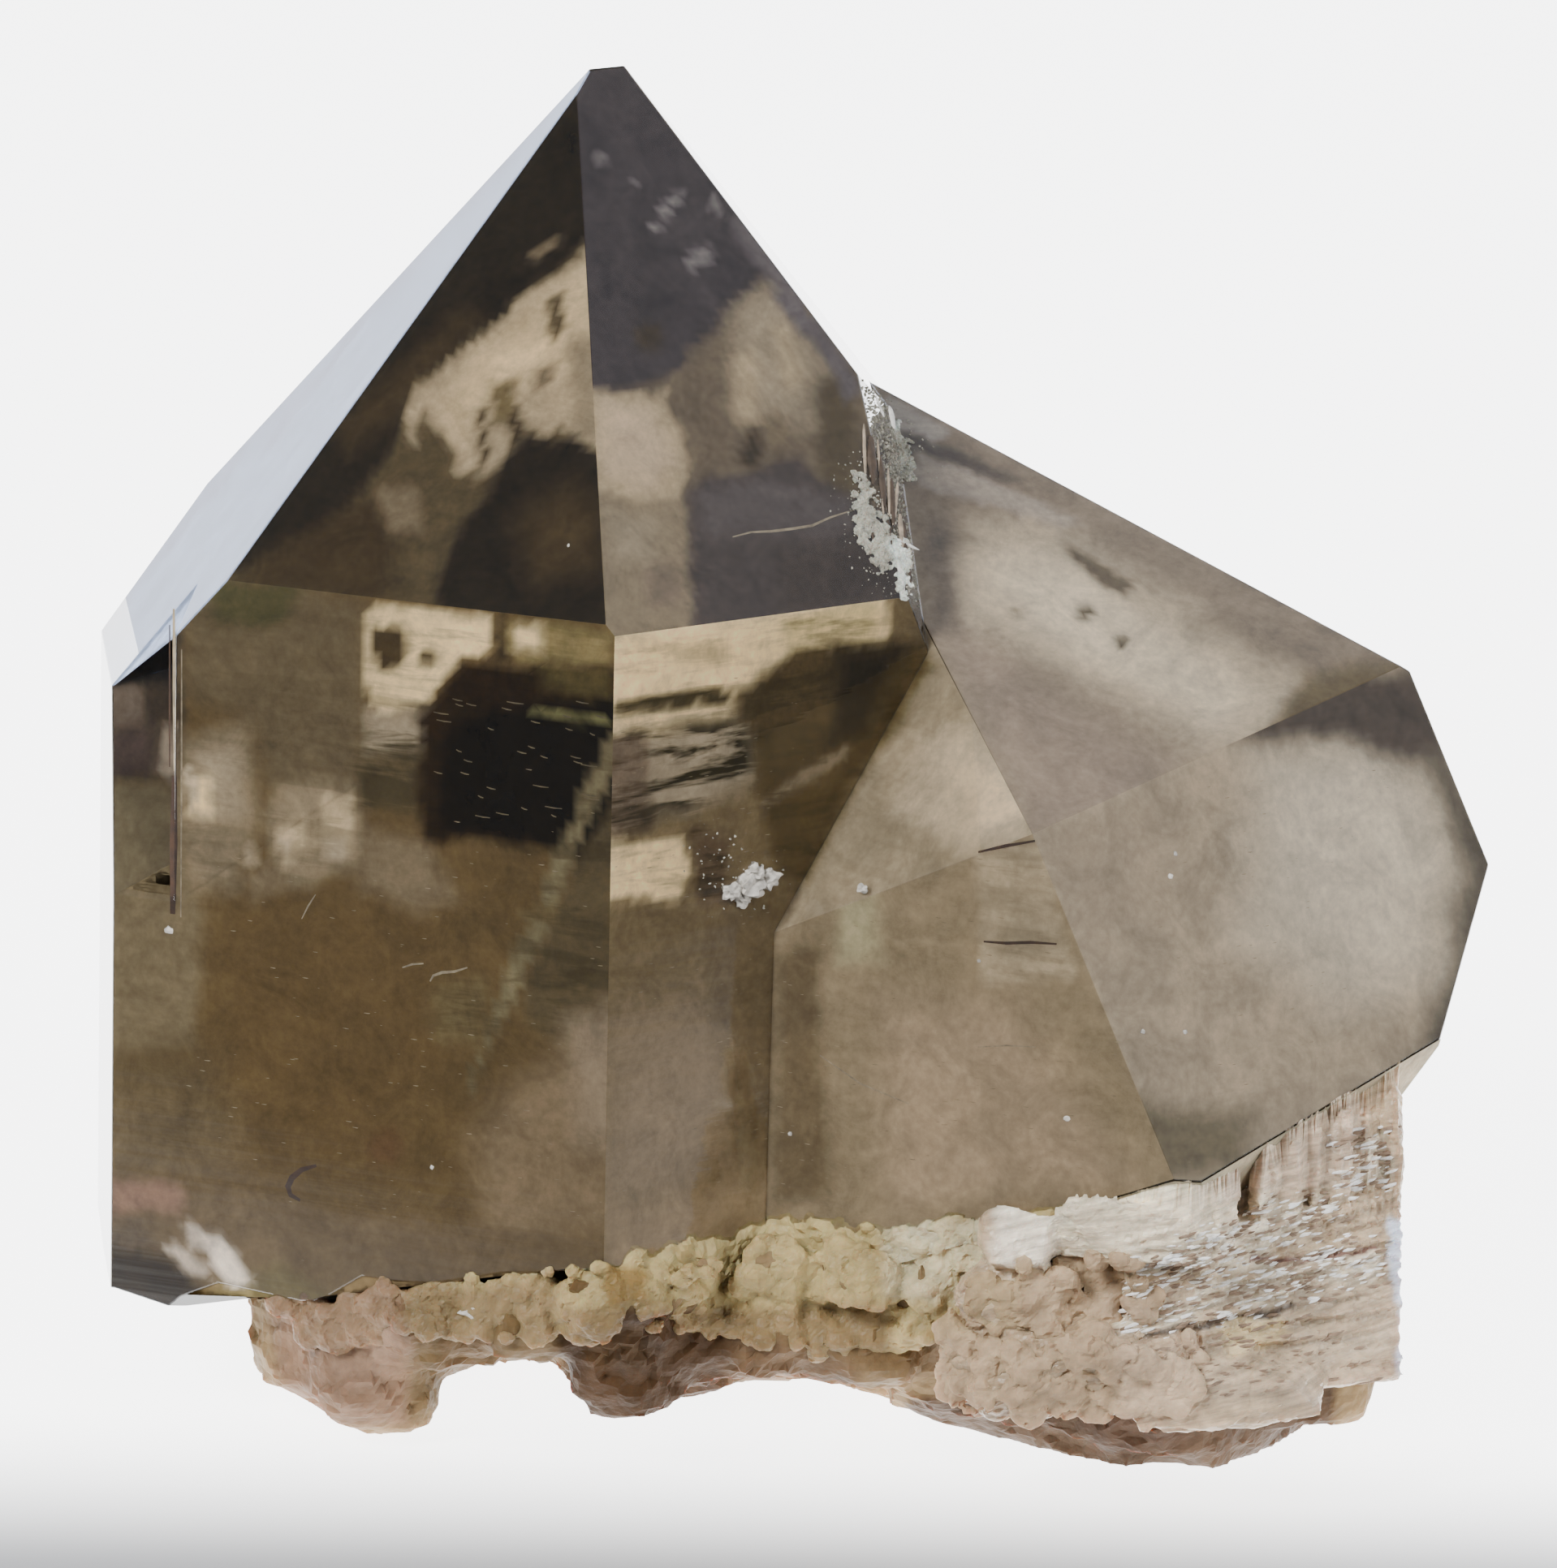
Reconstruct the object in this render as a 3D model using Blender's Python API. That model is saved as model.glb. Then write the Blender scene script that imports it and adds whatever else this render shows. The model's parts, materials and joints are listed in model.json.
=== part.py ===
"""Smoky quartz crystal: two crystals grown into each other, on the rough pale matrix that they were
broken off with, and a fluted glassy piece at the lower right.

Every length below is in millimetres and every angle in degrees. The shapes are made at that size and
brought to metres when they are finished. Seen from the front, where both crystals show, X is to the
right, Y to the back and Z up, and the specimen rests on Z = 0."""

import math
import random

import bmesh
import bpy
from mathutils import Matrix, Vector

MM = 0.001
GAP = 0.3
UNDERSIDE_GAP = 1.4 * GAP
LUMP_GAP = 1.3 * GAP
BLOCK = 80.0
BLOCK_ABOVE_TOP = 0.1
WELD = 0.002
PLANE_REACH = 1e-5
TO_CENTRE = Vector((0.3, -1.05, 0.0))

# How quartz grows
PYRAMID_TILT = 51.8
DOWN = Vector((0, 0, -1))
TO_FRONT = Vector((0, -1, 0))

# The main crystal. Each face has its bearing round the long axis, seen from above and counted from
# the front to the right, the distance of its upright face from the axis, and how far its pyramid
# face stands outside the point that the axis starts from.
MAIN_TOP = Vector((-6.9, 0.0, 41.0))
MAIN_TURN = 6.5
MAIN_FACES = {
    "left": (-90, 14.3, 0.0),
    "front left": (-30, 11.0, -0.05),
    "front right": (30, 11.0, -0.25),
    "right": (90, 15.5, 1.2),
    "back right": (150, 13.5, 3.9),
    "back left": (-150, 11.7, 0.6),
}

# The main crystal's right corner is broken off where the second crystal stands against it
CORNER_BREAK = ((1.7, -2.1, 32.0), (0.94, -0.08, 0.325))

# The second crystal, which leans left and back into the first one
SECOND_TOP = Vector((-0.95, 5.45, 32.4))
SECOND_LEAN_LEFT = 24.0
SECOND_LEAN_BACK = 10.0
SECOND_TURN = 9.6
SECOND_FACES = {
    "left": (-90, 13.0, 0.0),
    "front left": (-30, 13.1, 0.0),
    "front right": (30, 13.1, 0.0),
    "right": (90, 13.3, 0.0),
    "back right": (150, 12.0, 0.0),
    "back left": (-150, 12.0, 2.5),
}
# Where the second crystal's lower end is broken away: a point of each break, and the way it faces
SECOND_BREAKS = {
    "right rim": ((20.85, -6.0, 18.0), (0.96, -0.1, -0.24)),
    "right heel": ((19.6, -6.0, 13.4), (0.87, 0.1, -0.49)),
    "front seat": ((12.2, -13.2, 10.4), (0.15, -0.55, -0.82)),
    "rib seat": ((16.45, -10.0, 12.45), (0.66, -0.505, -0.55)),
    "back heel": ((8.0, 11.0, 9.0), (0.3, 0.72, -0.62)),
}

# The growth step on the left shoulder: a wall, and left of it a steep face set back from the front
STEP_WALL_X = -19.3
STEP_WALL_TURN = 10.0
STEP_FOOT = 16.8
STEP_STEEPNESS = 16.0

# The broken underside of the quartz, which rises to the right and to the front
BREAK_LEFT_Z = 3.7
BREAK_RISE = 0.055
BREAK_FRONT_Y = -6.5
BREAK_FRONT_RISE = 0.45
BREAK_ROUGHNESS = 0.55
BREAK_CELL = 3.0
BREAK_SHIFT = 0.66
BREAK_SEED = 7
BREAK_REACH = 27.0

# The fluted crystal, by the ends of its lower and upper edge
FLUTED_LOW = (Vector((10.4, -13.0, 3.4)), Vector((18.6, -10.4, 3.7)))
FLUTED_HIGH = (Vector((10.2, -13.3, 8.6)), Vector((18.5, -9.3, 9.4)))
FLUTED_DEPTH = 5.0
FLUTES = 11
FLUTE_HEIGHT = 0.42
FLUTE_SWELL = (0.55, 0.45)
FLUTE_SWELL_TURNS = (2.3, 1.7)
FLUTE_STATIONS = 5
RIB_SEED = 31
RIB_COUNT = 6
RIB_FEET = (Vector((14.4, -10.1, 8.0)), Vector((17.9, -7.7, 8.0)))
RIB_HALF = (0.5, 1.6)
RIB_TALL = (3.3, 4.5)
RIB_TALL_WANDER = 0.25
RIB_FOOT_WANDER = 0.2
RIB_FIRST_TURN = -14
RIB_TURN_STEP = 5
FLUTED_LUMP_SEED = 32

# Rough lumps, each a centre, its three half sizes and a turn about Z
FLUTED_LUMPS = {
    "smooth block": ((10.2, -11.4, 9.0), (3.1, 2.3, 1.7), -16),
    "knob": ((6.8, -11.6, 8.5), (1.2, 1.7, 1.0), 5),
    "left ledge": ((7.0, -10.6, 6.7), (2.2, 2.5, 1.3), 14),
    "lower lump": ((8.5, -11.0, 4.6), (3.5, 2.7, 1.8), -6),
    "lower right lump": ((13.0, -10.6, 3.9), (3.1, 2.9, 1.3), 10),
}
MATRIX_LUMPS = {
    "left block": ((-13.2, -4.6, 2.9), (2.2, 3.8, 2.6), 14),
    "left ledge": ((-10.6, -6.6, 4.4), (1.9, 3.0, 1.5), -14),
    "left lip": ((-7.9, -7.6, 5.0), (1.7, 3.2, 1.3), 10),
    "middle lump": ((-4.6, -7.0, 3.6), (1.8, 3.7, 1.9), -6),
    "middle shelf": ((-1.5, -6.6, 4.2), (1.7, 3.4, 1.3), 12),
    "right shelf": ((2.4, -6.4, 4.1), (2.2, 3.4, 1.4), -10),
    "ridge crust": ((-5.6, -9.6, 6.3), (1.9, 2.3, 1.1), 20),
    "left crust": ((-3.0, -9.0, 6.4), (1.8, 2.3, 1.0), -25),
    "middle crust": ((-0.4, -8.0, 6.6), (1.7, 2.3, 1.1), 15),
    "right crust": ((2.3, -8.2, 6.8), (1.6, 2.5, 1.2), -12),
    "corner crust": ((4.7, -8.8, 6.6), (1.5, 2.2, 1.3), 18),
    "right heel": ((12.4, 3.4, 3.8), (4.6, 5.4, 3.8), -24),
    "right flank": ((14.6, -3.6, 4.4), (3.4, 4.6, 3.6), 12),
}
LUMP_POINTS = 38
LUMP_SQUARENESS = 0.62
LUMP_SIZES = (1.0, 1.18)
LUMP_FLATTEN = 4.0
LUMP_SEED = 12

# The body of the matrix, at stations from left to right: X, then the Y of its front, of where its foot
# begins on Z = 0 and of its back, and the height of its top, which the quartz then cuts lower
MATRIX_STATIONS = (
    (-16.4, -4.8, 0.8, 3.4, 5.6),
    (-15.6, -6.8, -0.6, 5.0, 6.4),
    (-14.1, -7.7, -3.0, 6.4, 7.0),
    (-12.8, -8.3, -2.6, 7.4, 7.5),
    (-11.6, -8.8, -1.4, 8.0, 7.5),
    (-10.1, -9.4, 0.5, 8.6, 7.5),
    (-8.6, -9.9, 2.5, 9.0, 7.5),
    (-7.1, -10.4, 3.1, 9.4, 8.0),
    (-5.9, -10.6, -0.3, 9.6, 8.0),
    (-4.8, -10.3, -2.4, 9.8, 8.0),
    (-3.2, -9.8, -1.6, 10.2, 8.0),
    (-1.6, -9.4, -0.3, 10.6, 8.0),
    (0.0, -9.0, 0.7, 10.8, 8.0),
    (1.4, -8.8, 1.4, 10.6, 8.0),
    (3.2, -8.8, -0.2, 10.2, 8.0),
    (4.6, -8.6, -2.6, 9.8, 8.0),
    (6.4, -8.2, -4.4, 9.4, 8.0),
    (8.6, -8.4, -5.9, 8.8, 9.0),
    (11.0, -9.4, -7.0, 8.0, 10.0),
    (13.2, -9.2, -6.8, 7.0, 11.0),
    (14.9, -7.6, -5.2, 5.6, 12.0),
    (16.0, -5.4, -2.9, 4.0, 12.0),
    (16.9, -2.6, -0.1, 2.4, 12.0),
)
MATRIX_UNDERCUT = 0.3
MATRIX_LIP = 0.9
MATRIX_BACK_SHOULDER = 0.6
MATRIX_ROUGHNESS = 0.34
MATRIX_SEED = 5

# The thin plate under the right half, as the corners of its outline on Z = 0
PLATE_OUTLINE = (
    (4.0, -2.2), (5.9, -4.6), (8.4, -6.6), (10.4, -7.9), (11.6, -7.4), (13.2, -7.9), (14.9, -5.8),
    (16.2, -3.4), (17.0, -0.4), (15.6, 3.4), (11.0, 6.0), (6.0, 4.4), (3.6, 1.0),
)
PLATE_THICK = 1.7
PLATE_BEVEL = 0.35

# Colours of the three materials, with roughness
FINISHES = {
    "smoky_quartz": ((0.30, 0.23, 0.15), 0.05),
    "fluted_crystal": ((0.66, 0.58, 0.46), 0.18),
    "pale_matrix": ((0.58, 0.49, 0.34), 0.75),
}


def clear_scene():
    for obj in list(bpy.data.objects):
        bpy.data.objects.remove(obj, do_unlink=True)


def flat_bearing(degrees):
    """The level direction at this bearing, counted from the front to the right."""
    angle = math.radians(degrees)
    return Vector((math.sin(angle), -math.cos(angle), 0))


# Cutting solids from planes


def block(centre, size=BLOCK):
    bm = bmesh.new()
    bmesh.ops.create_cube(bm, size=size, matrix=Matrix.Translation(centre))
    return bm


def cut(bm, point, facing):
    """Takes away what lies beyond the plane and closes the solid with a flat face."""
    found = bmesh.ops.bisect_plane(
        bm,
        geom=bm.verts[:] + bm.edges[:] + bm.faces[:],
        dist=PLANE_REACH,
        plane_co=point,
        plane_no=facing,
        clear_outer=True,
    )
    rim = [item for item in found["geom_cut"] if isinstance(item, bmesh.types.BMEdge)]
    if rim:
        bmesh.ops.contextual_create(bm, geom=rim)


def crystal(top, axis, right, turn, faces, grow=0.0):
    """A quartz crystal: six upright faces, and over each a face of the six-sided pyramid."""
    front = right.cross(axis).normalized() * -1
    if front.dot(TO_FRONT) < 0:
        front.negate()
    bm = block(top - axis * BLOCK * (0.5 - BLOCK_ABOVE_TOP))
    tilt = math.radians(PYRAMID_TILT)
    for bearing, upright, pyramid in faces.values():
        angle = math.radians(bearing + turn)
        side = right * math.sin(angle) + front * math.cos(angle)
        slope = side * math.sin(tilt) + axis * math.cos(tilt)
        cut(bm, top + side * (upright + grow), side)
        cut(bm, top + slope * (pyramid + grow), slope)
    return bm


def main_crystal(grow=0.0):
    bm = crystal(MAIN_TOP, -DOWN, Vector((1, 0, 0)), MAIN_TURN, MAIN_FACES, grow)
    cut(bm, Vector(CORNER_BREAK[0]), Vector(CORNER_BREAK[1]).normalized())
    return bm


def second_crystal(grow=0.0):
    left, back = math.radians(SECOND_LEAN_LEFT), math.radians(SECOND_LEAN_BACK)
    right = Vector((math.cos(left), 0, math.sin(left)))
    axis = Vector((-math.sin(left) * math.cos(back), math.sin(back), math.cos(left) * math.cos(back)))
    bm = crystal(SECOND_TOP, axis, right, SECOND_TURN, SECOND_FACES, grow)
    for point, facing in SECOND_BREAKS.values():
        facing = Vector(facing).normalized()
        cut(bm, Vector(point) + facing * grow, facing)
    return bm


def shoulder_cutter():
    """What the growth step leaves out: left of its wall, and in front of its steep face."""
    front_left = flat_bearing(MAIN_FACES["front left"][0] + MAIN_TURN)
    foot = MAIN_TOP + front_left * MAIN_FACES["front left"][1]
    foot.z = STEP_FOOT
    steep = math.radians(STEP_STEEPNESS)
    slope = front_left * math.cos(steep) - DOWN * math.sin(steep)
    bm = block(foot)
    cut(bm, foot, -slope)
    cut(bm, Vector((STEP_WALL_X, foot.y, STEP_FOOT)), flat_bearing(90 - STEP_WALL_TURN))
    return bm


def break_cutter(drop=0.0):
    """Everything under the quartz's broken underside, whose height wanders from cell to cell."""
    rng = random.Random(BREAK_SEED)
    cells = round(2 * BREAK_REACH / BREAK_CELL)
    bm = bmesh.new()
    rows = []
    for j in range(cells + 1):
        row = []
        for i in range(cells + 1):
            x, y = i * BREAK_CELL - BREAK_REACH, j * BREAK_CELL - BREAK_REACH
            height = BREAK_LEFT_Z + BREAK_RISE * (x + BREAK_REACH) + rng.uniform(-1, 1) * BREAK_ROUGHNESS
            height += BREAK_FRONT_RISE * max(0, BREAK_FRONT_Y - y)
            x += rng.uniform(-BREAK_SHIFT, BREAK_SHIFT)
            y += rng.uniform(-BREAK_SHIFT, BREAK_SHIFT)
            row.append(bm.verts.new((x, y, height - drop)))
        rows.append(row)
    for j in range(cells):
        for i in range(cells):
            a, b, c, d = rows[j][i], rows[j][i + 1], rows[j + 1][i + 1], rows[j + 1][i]
            bm.faces.new((a, b, c))
            bm.faces.new((a, c, d))
    rim = [edge for edge in bm.edges if edge.is_boundary]
    grown = bmesh.ops.extrude_edge_only(bm, edges=rim)["geom"]
    for vert in [item for item in grown if isinstance(item, bmesh.types.BMVert)]:
        vert.co.z = -BREAK_REACH
    bmesh.ops.contextual_create(bm, geom=[edge for edge in bm.edges if edge.is_boundary])
    bmesh.ops.recalc_face_normals(bm, faces=bm.faces)
    return bm


# Rough lumps, plates and flutes


def lump(rng, centre, half, turn, grow=0.0):
    """An angular broken lump: the hull of random points on a squared ellipsoid."""
    bm = bmesh.new()
    place = Matrix.Translation(centre) @ Matrix.Rotation(math.radians(turn), 4, "Z")
    for _ in range(LUMP_POINTS):
        way = Vector((rng.gauss(0, 1), rng.gauss(0, 1), rng.gauss(0, 1))).normalized()
        squared = [math.copysign(abs(part) ** LUMP_SQUARENESS, part) for part in way]
        size = rng.uniform(*LUMP_SIZES)
        spot = Vector([part * (reach * size + grow) for part, reach in zip(squared, half)])
        bm.verts.new(place @ spot)
    bmesh.ops.convex_hull(bm, input=bm.verts)
    bmesh.ops.delete(bm, geom=[vert for vert in bm.verts if not vert.link_faces], context="VERTS")
    limit = math.radians(LUMP_FLATTEN)
    bmesh.ops.dissolve_limit(bm, angle_limit=limit, verts=bm.verts, edges=bm.edges)
    return bm


def matrix_ring(front, foot, back, top):
    """One upright section of the matrix, as (y, z) points from its top front round to its top back."""
    hem = (foot - front) * MATRIX_UNDERCUT
    return (
        (front + MATRIX_LIP, top),
        (front + 0.2 * MATRIX_LIP, (hem + top) / 2),
        (front, hem + 1.4 * MATRIX_LIP),
        (front + 0.5 * MATRIX_LIP, hem),
        ((front + foot) / 2, hem / 2),
        (foot, 0.2 * MATRIX_LIP),
        (foot + 0.3 * MATRIX_LIP, -MATRIX_LIP),
        (back - 1.5 * MATRIX_LIP, -MATRIX_LIP),
        (back, 2 * MATRIX_LIP),
        (back + 0.3 * MATRIX_LIP, MATRIX_BACK_SHOULDER * top),
        (back - 1.5 * MATRIX_LIP, top),
    )


def loft(bm, rings):
    """Walls between neighbouring rings of points, and a face over each end ring."""
    for ring, following in zip(rings, rings[1:]):
        for i in range(len(ring)):
            k = (i + 1) % len(ring)
            bm.faces.new((ring[i], ring[k], following[k], following[i]))
    bm.faces.new(rings[0])
    bm.faces.new(rings[-1])
    bmesh.ops.recalc_face_normals(bm, faces=bm.faces)


def matrix_body():
    """The rough body of the matrix, undercut in front and flat under its foot."""
    rng = random.Random(MATRIX_SEED)
    bm = bmesh.new()
    rings = []
    for x, *section in MATRIX_STATIONS:
        ring = []
        for y, z in matrix_ring(*section):
            shake = Vector([rng.uniform(-1, 1) * MATRIX_ROUGHNESS for _ in range(3)])
            ring.append(bm.verts.new(Vector((x, y, z)) + shake))
        rings.append(ring)
    loft(bm, rings)
    bmesh.ops.triangulate(bm, faces=bm.faces)
    return bm


def plate():
    """The thin broken plate that the right half stands on."""
    bm = bmesh.new()
    face = bm.faces.new([bm.verts.new((x, y, -PLATE_THICK)) for x, y in PLATE_OUTLINE])
    grown = bmesh.ops.extrude_face_region(bm, geom=[face])["geom"]
    top = [item for item in grown if isinstance(item, bmesh.types.BMVert)]
    bmesh.ops.translate(bm, verts=top, vec=(0, 0, 2 * PLATE_THICK))
    bmesh.ops.recalc_face_normals(bm, faces=bm.faces)
    upper = [edge for edge in bm.edges if all(vert.co.z > PLATE_THICK / 2 for vert in edge.verts)]
    bmesh.ops.bevel(bm, geom=upper, offset=PLATE_BEVEL, segments=1, affect="EDGES")
    return bm


def fluted_facing():
    return (FLUTED_LOW[1] - FLUTED_LOW[0]).cross(FLUTED_HIGH[0] - FLUTED_LOW[0]).normalized()


def fluted_block():
    """A block whose front is drawn out in flutes, which fan towards its right end."""
    bm = bmesh.new()
    facing = fluted_facing()
    steps = 2 * FLUTES
    rings = []
    for station in range(FLUTE_STATIONS):
        along = station / (FLUTE_STATIONS - 1)
        low, high = FLUTED_LOW[0].lerp(FLUTED_LOW[1], along), FLUTED_HIGH[0].lerp(FLUTED_HIGH[1], along)
        ring = []
        for step in range(steps + 1):
            turn = FLUTE_SWELL_TURNS[0] * step + FLUTE_SWELL_TURNS[1] * station
            swell = FLUTE_SWELL[0] + FLUTE_SWELL[1] * math.sin(turn)
            ridge = FLUTE_HEIGHT * (step % 2) * swell
            ring.append(bm.verts.new(low.lerp(high, step / steps) + facing * ridge))
        ring.append(bm.verts.new(high - facing * FLUTED_DEPTH))
        ring.append(bm.verts.new(low - facing * FLUTED_DEPTH))
        rings.append(ring)
    loft(bm, rings)
    return bm


def ribs():
    """Upright ribs standing side by side over the fluted block's right end."""
    rng = random.Random(RIB_SEED)
    made = []
    for i in range(RIB_COUNT):
        along = i / (RIB_COUNT - 1)
        tall = RIB_TALL[0] + (RIB_TALL[1] - RIB_TALL[0]) * along
        tall += rng.uniform(-RIB_TALL_WANDER, RIB_TALL_WANDER)
        foot = RIB_FEET[0].lerp(RIB_FEET[1], along)
        foot.y += rng.uniform(-RIB_FOOT_WANDER, RIB_FOOT_WANDER)
        turn = RIB_FIRST_TURN + RIB_TURN_STEP * i
        made.append(lump(rng, foot - DOWN * tall / 2, (*RIB_HALF, tall / 2), turn))
    return made


# Objects, Boolean joins and clean-up


def new_object(name, bm):
    mesh = bpy.data.meshes.new(name)
    bm.to_mesh(mesh)
    bm.free()
    obj = bpy.data.objects.new(name, mesh)
    bpy.context.scene.collection.objects.link(obj)
    return obj


def combine(name, first, steps):
    """Joins or cuts the first shape with each of the others in turn, and keeps the one largest body."""
    obj = new_object(name, first)
    tools = []
    for operation, shape in steps:
        tool = new_object(f"{name} tool {len(tools)}", shape)
        tool.hide_render = True
        tool.display_type = "WIRE"
        modifier = obj.modifiers.new(operation.title(), "BOOLEAN")
        modifier.operation = operation
        modifier.solver = "EXACT"
        modifier.object = tool
        tools.append(tool)
    graph = bpy.context.evaluated_depsgraph_get()
    mesh = bpy.data.meshes.new_from_object(obj.evaluated_get(graph))
    obj.modifiers.clear()
    obj.data = mesh
    for tool in tools:
        bpy.data.objects.remove(tool, do_unlink=True)
    tidy(mesh)
    return obj


def tidy(mesh):
    """Merges points that a join left on top of each other, and drops chips that came loose."""
    bm = bmesh.new()
    bm.from_mesh(mesh)
    bmesh.ops.triangulate(bm, faces=bm.faces)
    bmesh.ops.remove_doubles(bm, verts=bm.verts, dist=WELD)
    bmesh.ops.dissolve_degenerate(bm, dist=WELD, edges=bm.edges)
    bodies = []
    left = set(bm.verts)
    while left:
        body, waiting = set(), [left.pop()]
        while waiting:
            vert = waiting.pop()
            body.add(vert)
            near = {edge.other_vert(vert) for edge in vert.link_edges} & left
            left -= near
            waiting.extend(near)
        bodies.append(body)
    largest = max(bodies, key=len)
    bmesh.ops.delete(bm, geom=[vert for vert in bm.verts if vert not in largest], context="VERTS")
    bm.to_mesh(mesh)
    bm.free()


def finish(obj):
    """Stands the shape over the middle of the specimen, in metres, and gives it its material."""
    obj.data.transform(Matrix.Scale(MM, 4) @ Matrix.Translation(TO_CENTRE))
    colour, roughness = FINISHES[obj.name]
    material = bpy.data.materials.new(obj.name)
    material.use_nodes = True
    shader = material.node_tree.nodes["Principled BSDF"]
    shader.inputs["Base Color"].default_value = (*colour, 1)
    shader.inputs["Roughness"].default_value = roughness
    shader.inputs["Metallic"].default_value = 0.0
    obj.data.materials.clear()
    obj.data.materials.append(material)


def make_quartz():
    steps = [
        ("DIFFERENCE", shoulder_cutter()),
        ("UNION", second_crystal()),
        ("DIFFERENCE", break_cutter()),
    ]
    finish(combine("smoky_quartz", main_crystal(), steps))


def quartz_room():
    """The room that the quartz and the gap round it take, to cut from its neighbours."""
    steps = [
        ("UNION", second_crystal(GAP)),
        ("DIFFERENCE", break_cutter(UNDERSIDE_GAP)),
    ]
    room = combine("quartz room", main_crystal(GAP), steps)
    bm = bmesh.new()
    bm.from_mesh(room.data)
    bpy.data.objects.remove(room, do_unlink=True)
    return bm


def make_fluted():
    rng = random.Random(FLUTED_LUMP_SEED)
    steps = [("UNION", shape) for shape in ribs()]
    steps += [("UNION", lump(rng, *size)) for size in FLUTED_LUMPS.values()]
    steps.append(("DIFFERENCE", quartz_room()))
    finish(combine("fluted_crystal", fluted_block(), steps))


def fluted_room():
    """The room that the fluted crystal takes, to cut from the matrix."""
    rng = random.Random(FLUTED_LUMP_SEED)
    grow = GAP + FLUTE_HEIGHT
    facing = fluted_facing()
    up = (FLUTED_HIGH[0] - FLUTED_LOW[0]).normalized() * GAP
    along = (FLUTED_LOW[1] - FLUTED_LOW[0]).normalized() * GAP
    bm = bmesh.new()
    for end, push in ((0, -along), (1, along)):
        for spot in (FLUTED_LOW[end] - up, FLUTED_HIGH[end] + up):
            bm.verts.new(spot + push + facing * grow)
            bm.verts.new(spot + push - facing * (FLUTED_DEPTH + GAP))
    bmesh.ops.convex_hull(bm, input=bm.verts)
    return [bm] + [lump(rng, *size, grow=LUMP_GAP) for size in FLUTED_LUMPS.values()]


def make_matrix():
    rng = random.Random(LUMP_SEED)
    lumps = [lump(rng, *size) for size in MATRIX_LUMPS.values()]
    steps = [("UNION", shape) for shape in lumps + [plate()]]
    steps += [("DIFFERENCE", quartz_room())]
    steps += [("DIFFERENCE", room) for room in fluted_room()]
    steps.append(("DIFFERENCE", block(Vector((0, 0, -BLOCK / 2)))))
    finish(combine("pale_matrix", matrix_body(), steps))


clear_scene()
make_quartz()
make_fluted()
make_matrix()
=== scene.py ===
# %% [markdown]
# # Smoky quartz crystal
# The object is a mineral specimen: two smoky crystals grown into each other on rough pale matrix,
# with a fluted glassy piece at the lower right. The measured solids come in as a fixed frame, and this
# lesson gives them their finishes, their fine relief and what can be seen inside the clear quartz.
# The frame is loaded first, because every later piece takes its place from it.

import json
import math
import random

import bmesh
import bpy
from mathutils import Matrix, Vector, noise
from mathutils.bvhtree import BVHTree

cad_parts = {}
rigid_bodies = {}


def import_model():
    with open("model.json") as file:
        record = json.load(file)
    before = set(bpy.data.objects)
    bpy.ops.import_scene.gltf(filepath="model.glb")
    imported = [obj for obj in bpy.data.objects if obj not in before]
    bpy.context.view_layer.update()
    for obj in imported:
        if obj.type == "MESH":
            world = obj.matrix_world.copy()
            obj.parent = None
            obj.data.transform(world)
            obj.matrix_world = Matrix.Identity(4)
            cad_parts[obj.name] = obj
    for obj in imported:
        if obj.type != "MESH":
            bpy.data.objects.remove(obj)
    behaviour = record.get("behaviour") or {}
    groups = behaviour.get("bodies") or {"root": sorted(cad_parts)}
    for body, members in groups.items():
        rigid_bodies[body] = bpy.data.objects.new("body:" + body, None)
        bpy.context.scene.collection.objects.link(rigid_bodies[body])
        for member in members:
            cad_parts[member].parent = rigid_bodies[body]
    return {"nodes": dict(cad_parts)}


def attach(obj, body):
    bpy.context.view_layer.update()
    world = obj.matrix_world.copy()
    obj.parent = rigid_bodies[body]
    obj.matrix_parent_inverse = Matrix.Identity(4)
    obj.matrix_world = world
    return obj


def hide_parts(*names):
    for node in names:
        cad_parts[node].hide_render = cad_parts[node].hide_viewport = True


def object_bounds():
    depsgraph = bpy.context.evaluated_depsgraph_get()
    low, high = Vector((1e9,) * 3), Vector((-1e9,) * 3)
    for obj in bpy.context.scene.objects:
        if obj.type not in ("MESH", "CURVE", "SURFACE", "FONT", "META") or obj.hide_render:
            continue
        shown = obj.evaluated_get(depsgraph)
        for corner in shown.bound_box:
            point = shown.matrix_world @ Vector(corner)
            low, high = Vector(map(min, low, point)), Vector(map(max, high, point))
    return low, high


for startup_object in list(bpy.data.objects):
    bpy.data.objects.remove(startup_object, do_unlink=True)
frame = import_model()
cad_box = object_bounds()
print("CAD box", cad_box)

# %% [markdown]
# Positions are easier to read in millimetres, and in the frame's own axes: X to the right, Y away
# from the viewer, Z up.

# %% Units
MM = 0.001


def mm(x, y, z):
    return Vector((x, y, z)) * MM


# %% [markdown]
# The camera stands as far away as the photograph's was, looks down a little on the specimen, and is
# tipped sideways by just over a degree. A long lens keeps the crystal's upright edges upright.

# %% Camera
LOOKED_AT = mm(-0.259, -1.05, 19.272)
CAMERA_DISTANCE = 300 * MM
CAMERA_DOWN = math.radians(13.37)
CAMERA_ROLL = math.radians(1.29)
CAMERA_LENS = 223.6

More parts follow.
